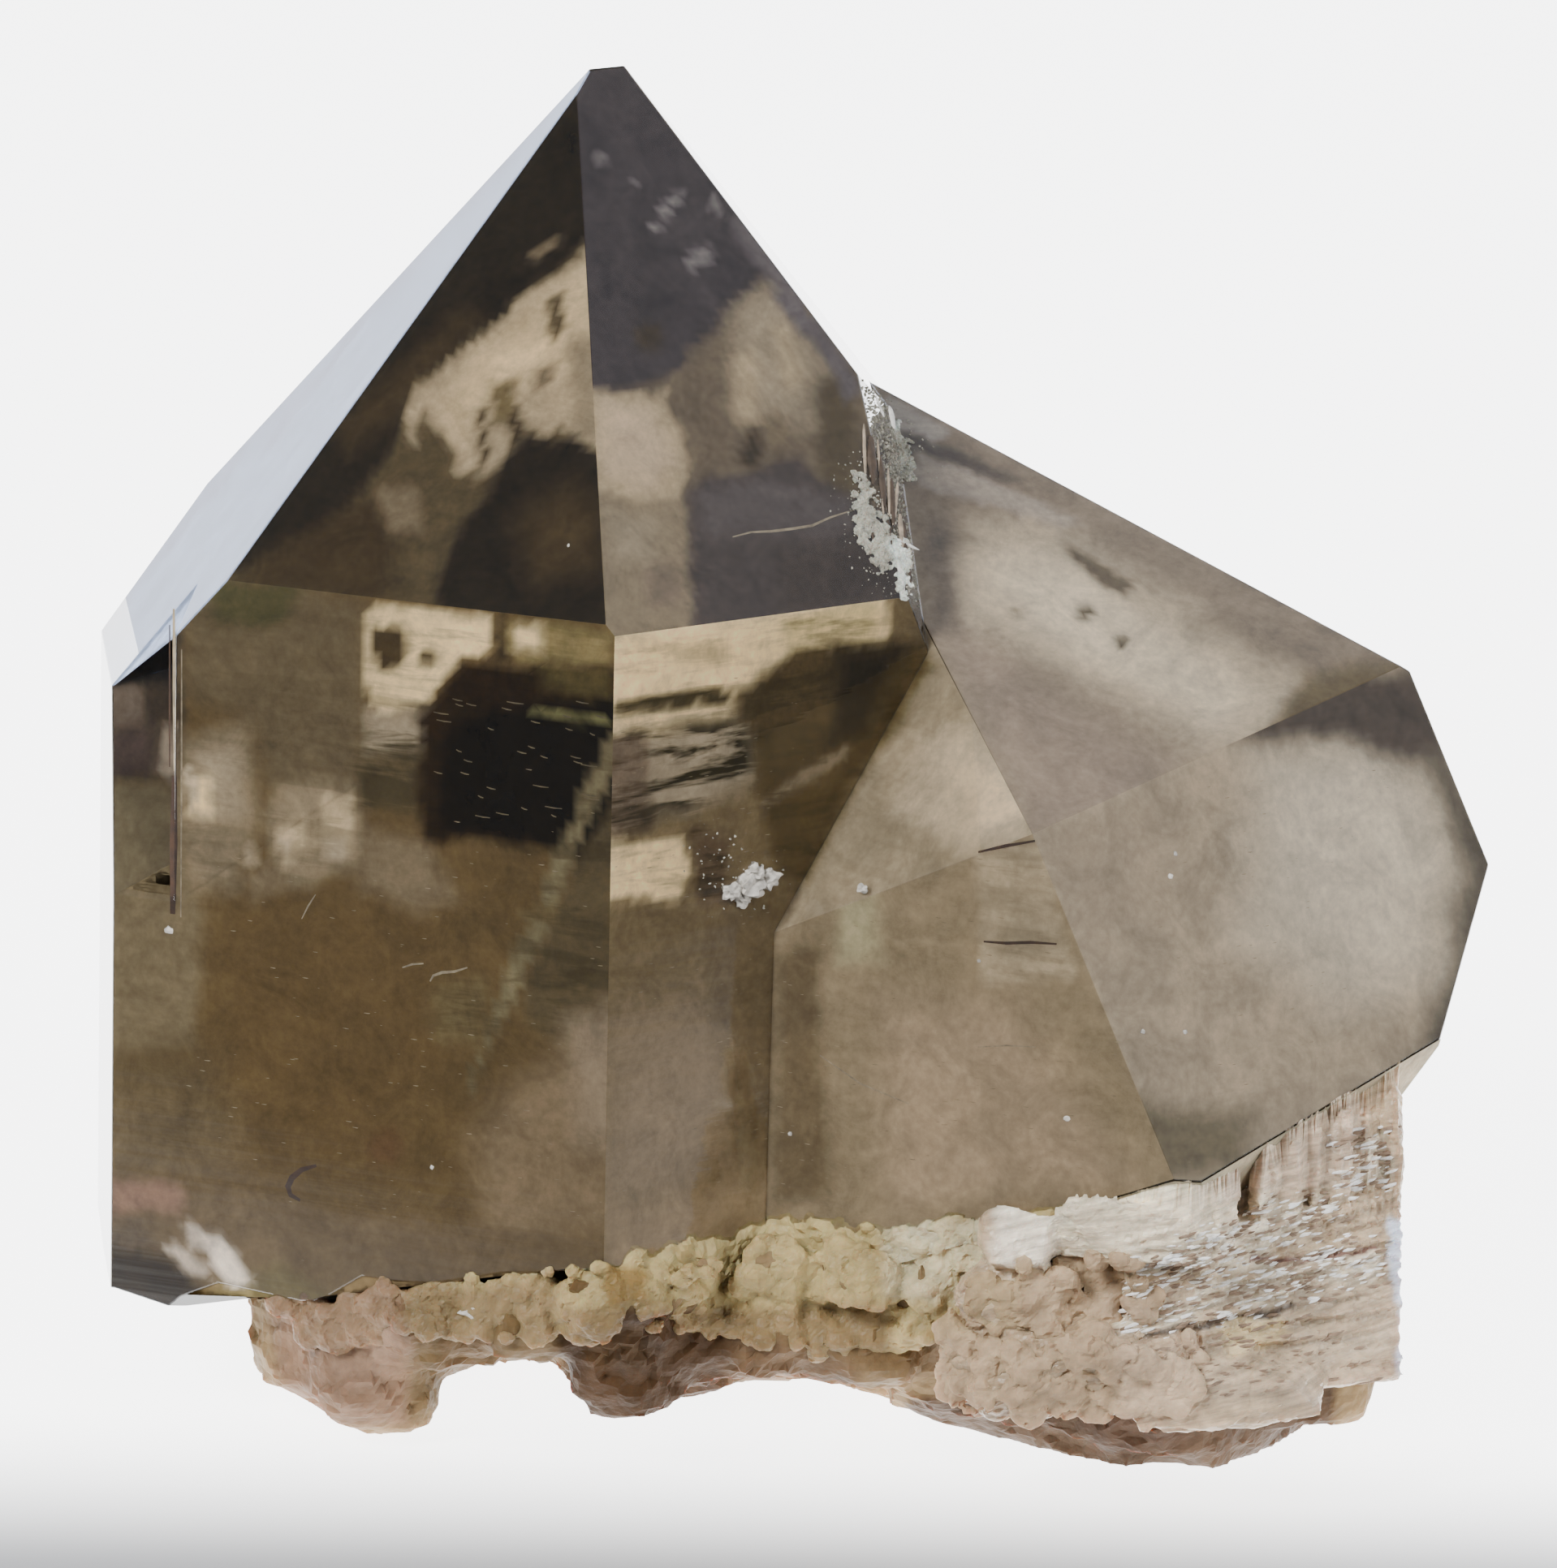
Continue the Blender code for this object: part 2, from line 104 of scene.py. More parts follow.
back = Vector((0, -math.cos(CAMERA_DOWN), math.sin(CAMERA_DOWN)))
upright = Vector((0, math.sin(CAMERA_DOWN), math.cos(CAMERA_DOWN)))
camera_right = Vector((1, 0, 0)) * math.cos(CAMERA_ROLL) + upright * math.sin(CAMERA_ROLL)
camera_up = back.cross(camera_right)
camera_data = bpy.data.cameras.new("camera")
camera_data.lens = CAMERA_LENS
camera_data.sensor_width = 36
camera_data.clip_start = 0.01
camera = bpy.data.objects.new("camera", camera_data)
turn = Matrix((camera_right, camera_up, back)).transposed().to_4x4()
camera.matrix_world = Matrix.Translation(LOOKED_AT + back * CAMERA_DISTANCE) @ turn
bpy.context.scene.collection.objects.link(camera)
bpy.context.scene.camera = camera
print("camera at", [round(c, 4) for c in camera.location])

# %% [markdown]
# Every look below is a small network of nodes, and each node is made in the same three steps: it is
# added, its settings are chosen, and its sockets are given a value or another node's output. These
# helpers take those steps, for the room, the floor, all finishes and the tree that scatters chips.

# %% Nodes
EVEN = (1, 1, 1)
WHITE = (1, 1, 1, 1)


def filled(tree, node, sockets):
    """Gives each named socket a value, or links another node's output to it."""
    for key, value in sockets.items():
        if isinstance(value, bpy.types.NodeSocket):
            tree.links.new(value, node.inputs[key])
        else:
            node.inputs[key].default_value = value
    return node


def node_in(tree, kind, sockets=None, **settings):
    node = tree.nodes.new(kind)
    for name, value in settings.items():
        setattr(node, name, value)
    return filled(tree, node, sockets or {})


def new_finish(name):
    finish = bpy.data.materials.new(name)
    finish.use_nodes = True
    return finish, finish.node_tree, finish.node_tree.nodes["Principled BSDF"]


def ranged(tree, value, low, high, to_low, to_high, steps="LINEAR"):
    sockets = {"Value": value, "From Min": low, "From Max": high, "To Min": to_low, "To Max": to_high}
    return node_in(tree, "ShaderNodeMapRange", sockets, interpolation_type=steps).outputs["Result"]


def maths(tree, operation, first, second, clamp=False):
    node = node_in(tree, "ShaderNodeMath", {0: first, 1: second}, operation=operation, use_clamp=clamp)
    return node.outputs[0]


def scaled(tree, vector, amount):
    node = node_in(tree, "ShaderNodeVectorMath", {0: vector, "Scale": amount}, operation="SCALE")
    return node.outputs["Vector"]


def mixed_colour(tree, share, first, second):
    return node_in(tree, "ShaderNodeMix", {0: share, 6: first, 7: second}, data_type="RGBA").outputs[2]


def noise_node(tree, place, scale, detail, roughness=0.5, distortion=0.0):
    sockets = {
        "Vector": place, "Scale": scale, "Detail": detail, "Roughness": roughness, "Distortion": distortion,
    }
    return node_in(tree, "ShaderNodeTexNoise", sockets).outputs["Fac"]


def stretched_place(tree, scale, rise=0.0):
    """Object coordinates, tipped up to the right and drawn out by a different amount along each axis."""
    where = node_in(tree, "ShaderNodeTexCoord").outputs["Object"]
    tipped = node_in(tree, "ShaderNodeMapping", {"Vector": where, "Rotation": (0, rise, 0)}).outputs[0]
    return node_in(tree, "ShaderNodeMapping", {"Vector": tipped, "Scale": scale}).outputs[0]


# %% [markdown]
# A clear stone shows its surroundings more than itself. The room is a pale cool white above, behind
# and beside the specimen, and greyer on the viewer's side. The greyer side is what gives clear quartz
# its dark facets, and the cool far side is what the steep left face of the point mirrors.

# %% Room
ROOM_COLOUR = (0.90, 0.96, 1.10, 1)
FRONT_LIGHT = 0.3
BACK_LIGHT = 2.4
EXTRA_ON_THE_RIGHT = 0.35

world = bpy.data.worlds.new("studio")
bpy.context.scene.world = world
world.use_nodes = True
tree = world.node_tree
looking = node_in(tree, "ShaderNodeTexCoord").outputs["Generated"]
axes = node_in(tree, "ShaderNodeSeparateXYZ", {0: looking}).outputs
behind = ranged(tree, axes["Y"], 0.15, 0.85, FRONT_LIGHT, BACK_LIGHT, "SMOOTHSTEP")
to_the_right = ranged(tree, axes["X"], 0.1, 0.8, 0.0, EXTRA_ON_THE_RIGHT, "SMOOTHSTEP")
total = maths(tree, "ADD", behind, to_the_right)
filled(tree, tree.nodes["Background"], {"Color": ROOM_COLOUR, "Strength": total})
print("the room's light comes from behind and from the right")

# %% [markdown]
# The floor is a lit white sheet, as under a product photograph. It glows from under the specimen to far
# behind it. Nearer the viewer, outside the picture, its colour is painted dark, as painted shade, so that
# the upright front faces mirror no glare and their dark zones stay dark.

# %% Floor
GLOW_STARTS = -22 * MM
GLOW_FULL = -4 * MM
GLOW_STRENGTH = 5.5
SHADE_FROM = -23.5 * MM
SHADE_FULL = -35 * MM
PALE = 0.42
SHADED = 0.05
FLOOR_RADIUS = 3

floor_mesh = bpy.data.meshes.new("floor")
floor_bm = bmesh.new()
bmesh.ops.create_circle(floor_bm, cap_ends=True, segments=96, radius=FLOOR_RADIUS)
floor_bm.to_mesh(floor_mesh)
floor_bm.free()
floor = bpy.data.objects.new("floor", floor_mesh)
bpy.context.scene.collection.objects.link(floor)
floor_finish, tree, shader = new_finish("pale floor")
spot = node_in(tree, "ShaderNodeTexCoord").outputs["Object"]
away = node_in(tree, "ShaderNodeSeparateXYZ", {0: spot}).outputs["Y"]
glow = ranged(tree, away, GLOW_STARTS, GLOW_FULL, 0.0, GLOW_STRENGTH, "SMOOTHSTEP")
# painted shade: the floor's colour turns dark towards the viewer
shade = ranged(tree, away, SHADE_FULL, SHADE_FROM, SHADED, PALE, "SMOOTHSTEP")
looks = {"Roughness": 0.9, "Emission Color": WHITE, "Emission Strength": glow, "Base Color": shade}
filled(tree, shader, looks)
floor_mesh.materials.append(floor_finish)
print("floor glows from", GLOW_STARTS / MM, "mm")

# %% [markdown]
# Two round softboxes stand in front, a strong one at the upper left and a weak one at the lower
# right. They light the haze inside the stone and leave small highlights on the broken quartz.


# %% Lamps
def softbox(name, where, size, power):
    lamp = bpy.data.lights.new(name, "AREA")
    lamp.shape = "DISK"
    lamp.size = size
    lamp.energy = power
    obj = bpy.data.objects.new(name, lamp)
    obj.location = where
    obj.rotation_euler = (LOOKED_AT - where).to_track_quat("-Z", "Y").to_euler()
    bpy.context.scene.collection.objects.link(obj)
    print(name, "softbox of", power, "W")


softbox("key", mm(-260, -280, 290), size=160 * MM, power=3.35)
softbox("fill", mm(300, -260, 160), size=200 * MM, power=1.25)

# %% [markdown]
# Several things inside the quartz are placed by where they show in the photograph. This helper says
# where a point of the frame falls in that picture, 1918 points wide and 1932 high, and all outlines
# below are written in those picture points, 40 to a millimetre. It is used only while meshes are
# made, so nothing slides when the camera moves.

# %% Where a point shows
PICTURE_MIDDLE = (959, 966)
PICTURE_PER_MM = 40
EYE = LOOKED_AT + back * CAMERA_DISTANCE


def seen_at(point):
    reach = point - LOOKED_AT
    scale = PICTURE_PER_MM / MM * CAMERA_DISTANCE / (CAMERA_DISTANCE - reach.dot(back))
    across = PICTURE_MIDDLE[0] + reach.dot(camera_right) * scale
    down = PICTURE_MIDDLE[1] - reach.dot(camera_up) * scale
    return across, down


def on_plane(picture_point, plane_point, plane_normal):
    """The point of a plane that shows at this place in the picture."""
    sideways = (picture_point[0] - PICTURE_MIDDLE[0]) / PICTURE_PER_MM * MM
    upwards = (PICTURE_MIDDLE[1] - picture_point[1]) / PICTURE_PER_MM * MM
    ray = LOOKED_AT + camera_right * sideways + camera_up * upwards - EYE
    return EYE + ray * ((plane_point - EYE).dot(plane_normal) / ray.dot(plane_normal))


print("the main crystal's tip shows at", seen_at(mm(-6.6, -1.05, 41)))

# %% [markdown]
# The quartz keeps the measured shape. A clean copy of the solid is made: its loose triangles are
# merged, and flat areas become one face each. Later steps ask for a face by the way it looks, so the
# faces that show in front get a name here, each with the direction in which it looks.

# %% Quartz faces
MERGE = 0.002 * MM
LARGE_FACE = 1.5 * MM * MM
FLAT = math.radians(0.6)
LEFT_PYRAMID = (-0.31, -0.72, 0.62)
RIGHT_PYRAMID = (0.47, -0.63, 0.62)
STEEP_LEFT = (-0.78, -0.09, 0.62)
LEFT_UPRIGHT = (-0.4, -0.92, 0)
RIGHT_UPRIGHT = (0.59, -0.8, 0)
STEP_FRONT = (-0.38, -0.88, 0.28)
LEANING_TOP = (0.17, -0.49, 0.86)
LEANING_RIGHT = (0.53, -0.76, 0.38)
LEANING_LEFT = (-0.38, -0.92, 0.01)
LEANING_CORNER = (-0.55, -0.62, 0.56)
CORNER_BREAK = (0.94, -0.08, 0.33)
FRONT_SEAT = (0.15, -0.55, -0.82)
RIB_SEAT = (0.66, -0.51, -0.55)


def merged_copy(node_name):
    bm = bmesh.new()
    bm.from_mesh(frame["nodes"][node_name].data)
    bmesh.ops.remove_doubles(bm, verts=bm.verts, dist=MERGE)
    bmesh.ops.dissolve_limit(bm, angle_limit=FLAT, verts=bm.verts, edges=bm.edges)
    bmesh.ops.recalc_face_normals(bm, faces=bm.faces)
    return bm


quartz_faces = merged_copy("smoky_quartz")
quartz_tree = BVHTree.FromBMesh(quartz_faces)
large_faces = [face for face in quartz_faces.faces if face.calc_area() > LARGE_FACE]
quartz_top = max(vert.co.z for vert in quartz_faces.verts)
print(len(quartz_faces.faces), "faces,", len(large_faces), "of them large")


def face_like(normal):
    """The large quartz face that looks this way, and the largest of several that do."""
    wanted = Vector(normal).normalized()
    return max(large_faces, key=lambda face: face.normal.dot(wanted) + 1e-6 * face.calc_area() / MM / MM)


# %% [markdown]
# Every finished mesh is linked into the scene and rides on the specimen's one body. This helper does
# that, and every later cell uses it.

# %% Pieces
def piece_from(name, bm, finish):
    mesh = bpy.data.meshes.new(name)
    bm.to_mesh(mesh)
    bm.free()
    mesh.materials.append(finish)
    obj = bpy.data.objects.new(name, mesh)
    bpy.context.scene.collection.objects.link(obj)
    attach(obj, "root")
    print(name, len(mesh.polygons), "faces")
    return obj


# %% [markdown]
# Quartz is clear by plain transmission. Its smoky brown comes from absorption all through the stone,
# so thick parts are darker than thin ones. Fine growth lines run across the upright faces. They are a
# bump stretched level, because each line is far finer than a face, and the pyramid faces have none.

# %% Quartz finish
QUARTZ_IOR = 1.544
SMOKE_COLOUR = (0.50, 0.452, 0.345, 1)
SMOKE_DENSITY = 230
GROWTH_STRETCH = (60, 60, 1700)
GROWTH_RELIEF = 0.3 * MM

quartz, tree, shader = new_finish("clear smoky quartz")
smoke = node_in(tree, "ShaderNodeVolumeAbsorption", {"Color": SMOKE_COLOUR, "Density": SMOKE_DENSITY})
filled(tree, tree.nodes["Material Output"], {"Volume": smoke.outputs[0]})
lines = noise_node(tree, stretched_place(tree, GROWTH_STRETCH), 1.0, 3)
facing = node_in(tree, "ShaderNodeNewGeometry").outputs["True Normal"]
upwards = node_in(tree, "ShaderNodeSeparateXYZ", {0: facing}).outputs["Z"]
on_uprights = maths(tree, "MULTIPLY", lines, ranged(tree, upwards, 0.55, 0.40, 0, 1))
relief = {"Height": on_uprights, "Strength": 0.05, "Distance": GROWTH_RELIEF}
looks = {
    "Base Color": WHITE, "Transmission Weight": 1, "IOR": QUARTZ_IOR, "Roughness": 0.0,
    "Normal": node_in(tree, "ShaderNodeBump", relief).outputs[0],
}
filled(tree, shader, looks)
print("quartz finish has", len(tree.nodes), "nodes")

# %% [markdown]
# The crystals themselves are the measured faces with a hair-thin bevel on every edge, because a real
# crystal's edges are never perfectly sharp and catch a thin line of light.

# %% Quartz crystals
EDGE_BEVEL = 0.03 * MM

quartz_bm = quartz_faces.copy()
bmesh.ops.bevel(
    quartz_bm, geom=quartz_bm.edges[:], offset=EDGE_BEVEL, segments=1, affect="EDGES", clamp_overlap=True
)
bmesh.ops.recalc_face_normals(quartz_bm, faces=quartz_bm.faces)
crystals = piece_from("quartz_crystals", quartz_bm, quartz)
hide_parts("smoky_quartz")

# %% [markdown]
# Natural quartz is never evenly clear. Dark smoke, brown haze and milky veils lie in it as thin zones just
# under the faces that grew over them. Some of these zones are painted light and painted shade instead: cream
# where light comes through from behind, dark bands of painted shade, and cool painted reflections of the
# room. A small set of named tints serves all faces, as a paint box would, from nearly black through brown
# and khaki to cream, with cool greys for the painted reflection of the room.

# %% Tints
INK = (0.006, 0.0035, 0.001)
SOOT = (0.025, 0.018, 0.009)
PLUM = (0.064, 0.050, 0.047)
UMBER = (0.062, 0.042, 0.018)
MOSS = (0.100, 0.074, 0.036)
OLIVE = (0.124, 0.083, 0.034)
KHAKI = (0.165, 0.122, 0.056)
TAUPE = (0.225, 0.168, 0.098)
FLINT = (0.290, 0.225, 0.138)
STONE = (0.400, 0.320, 0.210)
SAND = (0.620, 0.490, 0.300)
CREAM = (0.900, 0.710, 0.400)
WINDOW = (0.480, 0.375, 0.228)
WINDOW_LIGHT = (0.700, 0.545, 0.320)
MIST = (0.650, 0.560, 0.420)
MILK = (0.800, 0.700, 0.580)
RUST = (0.112, 0.066, 0.029)
ROSE = (0.235, 0.140, 0.090)
SKY = (0.520, 0.610, 0.800)
LILAC = (0.420, 0.430, 0.560)
print("tints from ink", INK, "to cream", CREAM)

# %% [markdown]
# A zone of smoke is a soft-edged patch. Its outline is drawn as it shows in the picture, and it fades
# in over a few picture points. The patches of a face are laid one over the other, as smoke would be,
# and noise bends their outlines, so that none of them looks drawn. The noise gets a fixed seed: it
# would take one from the clock, and bend the outlines differently each time.

# %% Soft shapes
BEND_ROOM = 24
NOISE_SEED = 12
noise.seed_set(NOISE_SEED)


def cloud(corners, softness, tint, amount=1.0, streaks=0.0):
    """A soft-edged patch: its outline in the picture, its tint, its thickness and its streakiness."""
    reach = softness + BEND_ROOM
    lefts, tops = [x for x, y in corners], [y for x, y in corners]
    box = (min(lefts) - reach, min(tops) - reach, max(lefts) + reach, max(tops) + reach)
    return corners, softness, tint, amount, streaks, box


def soft_inside(spot, corners, softness):
    """1 well inside the outline, 0 well outside it, and a smooth step in between."""
    x, y = spot
    inside = False
    nearest = 1e9
    for (ax, ay), (bx, by) in zip(corners, corners[1:] + corners[:1]):
        if (ay > y) != (by > y) and x < (bx - ax) * (y - ay) / (by - ay) + ax:
            inside = not inside
        length = (bx - ax) ** 2 + (by - ay) ** 2
        along = max(0, min(1, ((x - ax) * (bx - ax) + (y - ay) * (by - ay)) / length))
        gap = math.hypot(x - ax - along * (bx - ax), y - ay - along * (by - ay))
        nearest = min(nearest, gap)
    signed = nearest if inside else -nearest
    step = max(0, min(1, 0.5 + signed / (2 * softness)))
    return step * step * (3 - 2 * step)


def bent_spot(point, wide=9, fine=6):
    """Where the point shows, shifted a little by noise, so that drawn outlines look grown."""
    across, down = seen_at(point)
    shift = noise.noise_vector(point / MM * 0.6) * wide + noise.noise_vector(point / MM * 2.3) * fine
    return across + shift.x, down + shift.y


print("on a patch's edge the share is", soft_inside((0, 5), [(0, 0), (9, 0), (9, 9), (0, 9)], 4))

# %% [markdown]
# Every point of a surface takes the blend of the patches that lie over it, and stores it. The finishes
# read it from there, so one finish serves many surfaces and nothing depends on the camera.

# %% Painted points
def blended(point, base, clouds):
    """The tint, thickness and streakiness that the clouds give this point."""
    spot = bent_spot(point)
    tint, amount, streaks = Vector(base[0]), base[1], base[2]
    for corners, softness, cloud_tint, cloud_amount, cloud_streaks, box in clouds:
        if not (box[0] < spot[0] < box[2] and box[1] < spot[1] < box[3]):
            continue
        share = soft_inside(spot, corners, softness)
        tint = tint.lerp(Vector(cloud_tint), share)
        amount += (cloud_amount - amount) * share
        streaks += (cloud_streaks - streaks) * share
    return tint, amount, streaks


def painted(bm, base, clouds):
    """Stores the clouds' blend on every point, for the finishes to read."""
    tint_layer = bm.verts.layers.float_color.new("tint")
    streak_layer = bm.verts.layers.float.new("streaks")
    for vert in bm.verts:
        tint, amount, streaks = blended(vert.co, base, clouds)
        vert[tint_layer] = (*tint, amount)
        vert[streak_layer] = streaks
    return bm


plain_base = (OLIVE, 1.0, 0.0)
print("with no patch a point is", blended(mm(0, 0, 9), plain_base, [])[0])

# %% [markdown]
# Each sheet of haze has its face's own outline, moved a little into the stone. Where two faces meet,
# their sheets have to meet as well, or a bright seam would show along the edge. So each side of the
# outline is shifted to where the neighbour's sheet lies, and each corner to where its two sides cross.

# %% Outlines inside the stone
FURTHEST_SHIFT = 4
LEVEL_NEIGHBOUR = 0.02
STRAIGHT_CORNER = 0.97
SIDE_SHARE = 0.45


def inner_sides(face, depth):
    """For each side, which way is inwards and how far it has to shift."""
    sides = []
    for loop in face.loops:
        inwards = face.normal.cross(loop.link_loop_next.vert.co - loop.vert.co).normalized()
        others = [other for other in loop.edge.link_faces if other is not face]
        shift = 0.0
        if others and abs(others[0].normal.dot(inwards)) > LEVEL_NEIGHBOUR:
            shift = depth * (face.normal.dot(others[0].normal) - 1) / others[0].normal.dot(inwards)
        sides.append((inwards, max(-FURTHEST_SHIFT * depth, min(FURTHEST_SHIFT * depth, shift))))
    return sides


def corner_move(before, before_shift, after, after_shift):
    """Where the shifted sides before and after a corner cross."""
    square = before.dot(after)
    if abs(square) > STRAIGHT_CORNER:
        return (before * before_shift + after * after_shift) / 2
    first = (before_shift - square * after_shift) / (1 - square * square)
    second = (after_shift - square * before_shift) / (1 - square * square)
    return before * first + after * second


def inner_outline(face, depth):
    """The face's corners, moved inwards by the depth to where the moved neighbour faces meet them."""
    sides = inner_sides(face, depth)
    corners = []
    for loop, before, after in zip(face.loops, sides[-1:] + sides[:-1], sides):
        move = corner_move(*before, *after)
        shorter = min(loop.edge.calc_length(), loop.link_loop_prev.edge.calc_length())
        furthest = min(FURTHEST_SHIFT * depth, SIDE_SHARE * shorter)
        if move.length > furthest:
            move = move.normalized() * furthest
        corners.append(loop.vert.co - face.normal * depth + move)
    return corners


tip_face = face_like(LEFT_PYRAMID)
print("the left front pyramid face has", len(inner_outline(tip_face, 0.1 * MM)), "corners")

# %% [markdown]
# The sheet is then divided into small squares, a quarter of a millimetre wide, because a patch can be
# no sharper than the points that carry it. Where only a part of a face is wanted, the rest is cut away
# coarsely first, which saves most of the work.

# %% Sheets under the faces
SHEET_SPACING = 0.26 * MM
SHEET_DEPTH = 0.06 * MM
COARSE = 8


def cut_into_rows(bm, way, gap):
    reaches = [vert.co.dot(way) for vert in bm.verts]
    line = min(reaches) + gap
    while line < max(reaches):
        parts = bm.verts[:] + bm.edges[:] + bm.faces[:]
        bmesh.ops.bisect_plane(bm, geom=parts, dist=1e-7, plane_co=way * line, plane_no=way)
        line += gap


def face_grid(normal, depth, spacing=SHEET_SPACING, inside=None):
    """A quartz face, moved inwards by the depth and divided into small squares, near an outline only if
    one is given."""
    face = face_like(normal)
    facing = face.normal.copy()
    bm = bmesh.new()
    outline = inner_outline(face, depth) if depth > 0 else [vert.co - facing * depth for vert in face.verts]
    bm.faces.new([bm.verts.new(corner) for corner in outline])
    bmesh.ops.triangulate(bm, faces=bm.faces)
    across = facing.cross(Vector((0, 0, 1))).normalized()
    for gap in (COARSE * spacing, spacing) if inside else (spacing,):
        for way in (across, facing.cross(across)):
            cut_into_rows(bm, way, gap)
        if inside:
            near = 2 * gap / MM * PICTURE_PER_MM
            far = [f for f in bm.faces if soft_inside(seen_at(f.calc_center_median()), inside, near) == 0]
            bmesh.ops.delete(bm, geom=far, context="FACES")
    return bm


def haze_sheet(name, normal, base, clouds, paler=1.0):
    """One face's haze. The last value is painted light: it makes the whole sheet paler or darker for how
    brightly that face is lit.
    """
    bm = painted(face_grid(normal, SHEET_DEPTH), base, clouds)
    tint_layer = bm.verts.layers.float_color["tint"]
    for vert in bm.verts:
        red, green, blue, amount = vert[tint_layer]
        vert[tint_layer] = (red * paler, green * paler, blue * paler, amount)
    return piece_from(name, bm, haze)


# %% [markdown]
# The haze takes its tint and thickness from the points. Two fine patterns break it up: soft wisps
# everywhere, and level streaks where the patches ask for them, because the stone grew in level steps
# that show as thin wavy dark lines. Haze doesn't shine, so it has no gloss at all.

# %% Haze finish
STREAK_TINT = (0.040, 0.030, 0.011, 1)
WISP_SCALE = 520
DUST_SCALE = 3600
LEVEL_STRETCH = (230, 230, 1500)
THICKEST_LINE = 0.98

haze, tree, shader = new_finish("smoky haze")
carried = node_in(tree, "ShaderNodeAttribute", attribute_name="tint").outputs
asked = node_in(tree, "ShaderNodeAttribute", attribute_name="streaks").outputs["Fac"]
place = stretched_place(tree, EVEN)
wisps = noise_node(tree, place, WISP_SCALE, 7, 0.68, 0.8)
dust = noise_node(tree, place, DUST_SCALE, 3, 0.6)
levels = noise_node(tree, stretched_place(tree, LEVEL_STRETCH), 1.0, 4, 0.62, 0.35)
soft, fine = ranged(tree, wisps, 0.32, 0.68, 0.80, 1.22), ranged(tree, dust, 0.32, 0.68, 0.90, 1.12)
lit_tint = scaled(tree, carried["Color"], maths(tree, "MULTIPLY", soft, fine))
lined = maths(tree, "MULTIPLY", ranged(tree, levels, 0.47, 0.58, 0, 1), asked, clamp=True)
fuller = maths(tree, "MULTIPLY", ranged(tree, wisps, 0.3, 0.7, 0.97, 1.05), carried["Alpha"])
line_cover = maths(tree, "MULTIPLY", lined, THICKEST_LINE)
looks = {
    "Roughness": 1.0, "Specular IOR Level": 0.0,
    "Base Color": mixed_colour(tree, lined, lit_tint, STREAK_TINT),
    "Alpha": maths(tree, "MAXIMUM", fuller, line_cover, clamp=True),
}
filled(tree, shader, looks)
print("haze finish has", len(tree.nodes), "nodes")

# %% [markdown]
# The tip is darkest, partly the stone's smoke and partly painted shade. Below it on both front pyramid faces
# lies a cream window of painted light, where light comes through from behind, and below that a second dark
# zone of painted shade that ends sharply where the pyramid meets the upright faces. Small blotches and wisps
# stop each zone from looking flat.

# %% Haze under the left front pyramid face
left_pyramid_clouds = [
    # smoke along the left edge
    cloud([(330, 640), (440, 600), (505, 600), (480, 760), (280, 740)], 34, UMBER, 0.97),
    cloud([(471, 606), (522, 600), (524, 652), (480, 655)], 13, TAUPE, 0.92),
    # the cream window, painted light, with a lighter inner part
    cloud([(724, 307), (765, 300), (765, 556), (706, 548), (690, 524), (672, 536), (655, 522), (640, 552),
           (619, 574), (604, 584), (596, 612), (585, 578), (553, 584), (545, 558), (527, 532), (508, 552),
           (499, 499), (512, 473), (543, 455), (568, 434), (594, 414), (624, 394), (655, 363), (686, 340),
           (706, 322)], 6, WINDOW, 0.93),
    cloud([(724, 320), (740, 330), (742, 420), (700, 470), (650, 480), (560, 540), (560, 470), (640, 400),
           (690, 350)], 22, WINDOW_LIGHT, 0.92),
    # smoke blotches in the window
    cloud([(604, 473), (640, 468), (642, 516), (612, 526)], 9, KHAKI, 0.93),
    cloud([(678, 366), (690, 362), (695, 400), (684, 432), (677, 420)], 5, MOSS, 0.93),
    cloud([(698, 417), (738, 410), (740, 500), (712, 512), (700, 470)], 13, FLINT, 0.92),
    cloud([(662, 455), (684, 455), (684, 478), (664, 480)], 6, TAUPE, 0.92),
    cloud([(700, 505), (745, 500), (750, 545), (706, 540)], 8, FLINT, 0.92),
    cloud([(592, 500), (600, 500), (601, 606), (589, 606)], 4, UMBER, 0.95),
    cloud([(630, 520), (640, 500), (650, 530), (634, 560)], 5, UMBER, 0.95),
    cloud([(512, 520), (530, 500), (560, 560), (545, 640), (520, 600)], 10, MOSS, 0.95),
    # the second dark zone, painted shade
    cloud([(765, 556), (734, 552), (706, 540), (690, 544), (655, 530), (635, 548), (614, 578), (599, 614),
           (568, 634), (553, 674), (538, 720), (533, 760), (775, 800)], 8, SOOT, 0.985),
    cloud([(640, 640), (700, 600), (740, 640), (730, 700), (660, 720)], 34, UMBER, 0.985),
    # the dark tip, partly smoke and partly painted shade
    cloud([(690, 60), (775, 60), (775, 300), (724, 305), (706, 318), (686, 336), (655, 359), (624, 392),
           (594, 410), (568, 430), (543, 453), (512, 471), (498, 500), (480, 560), (430, 620), (380, 650),
           (300, 700), (240, 700), (500, 240)], 8, SOOT, 0.985),
    cloud([(430, 560), (500, 490), (600, 390), (560, 390), (420, 520)], 20, UMBER, 0.98),
    cloud([(652, 316), (680, 292), (694, 284), (690, 300), (662, 324)], 6, TAUPE, 0.95),
]
haze_sheet("left_pyramid_haze", LEFT_PYRAMID, (MOSS, 0.97, 0.0), left_pyramid_clouds)
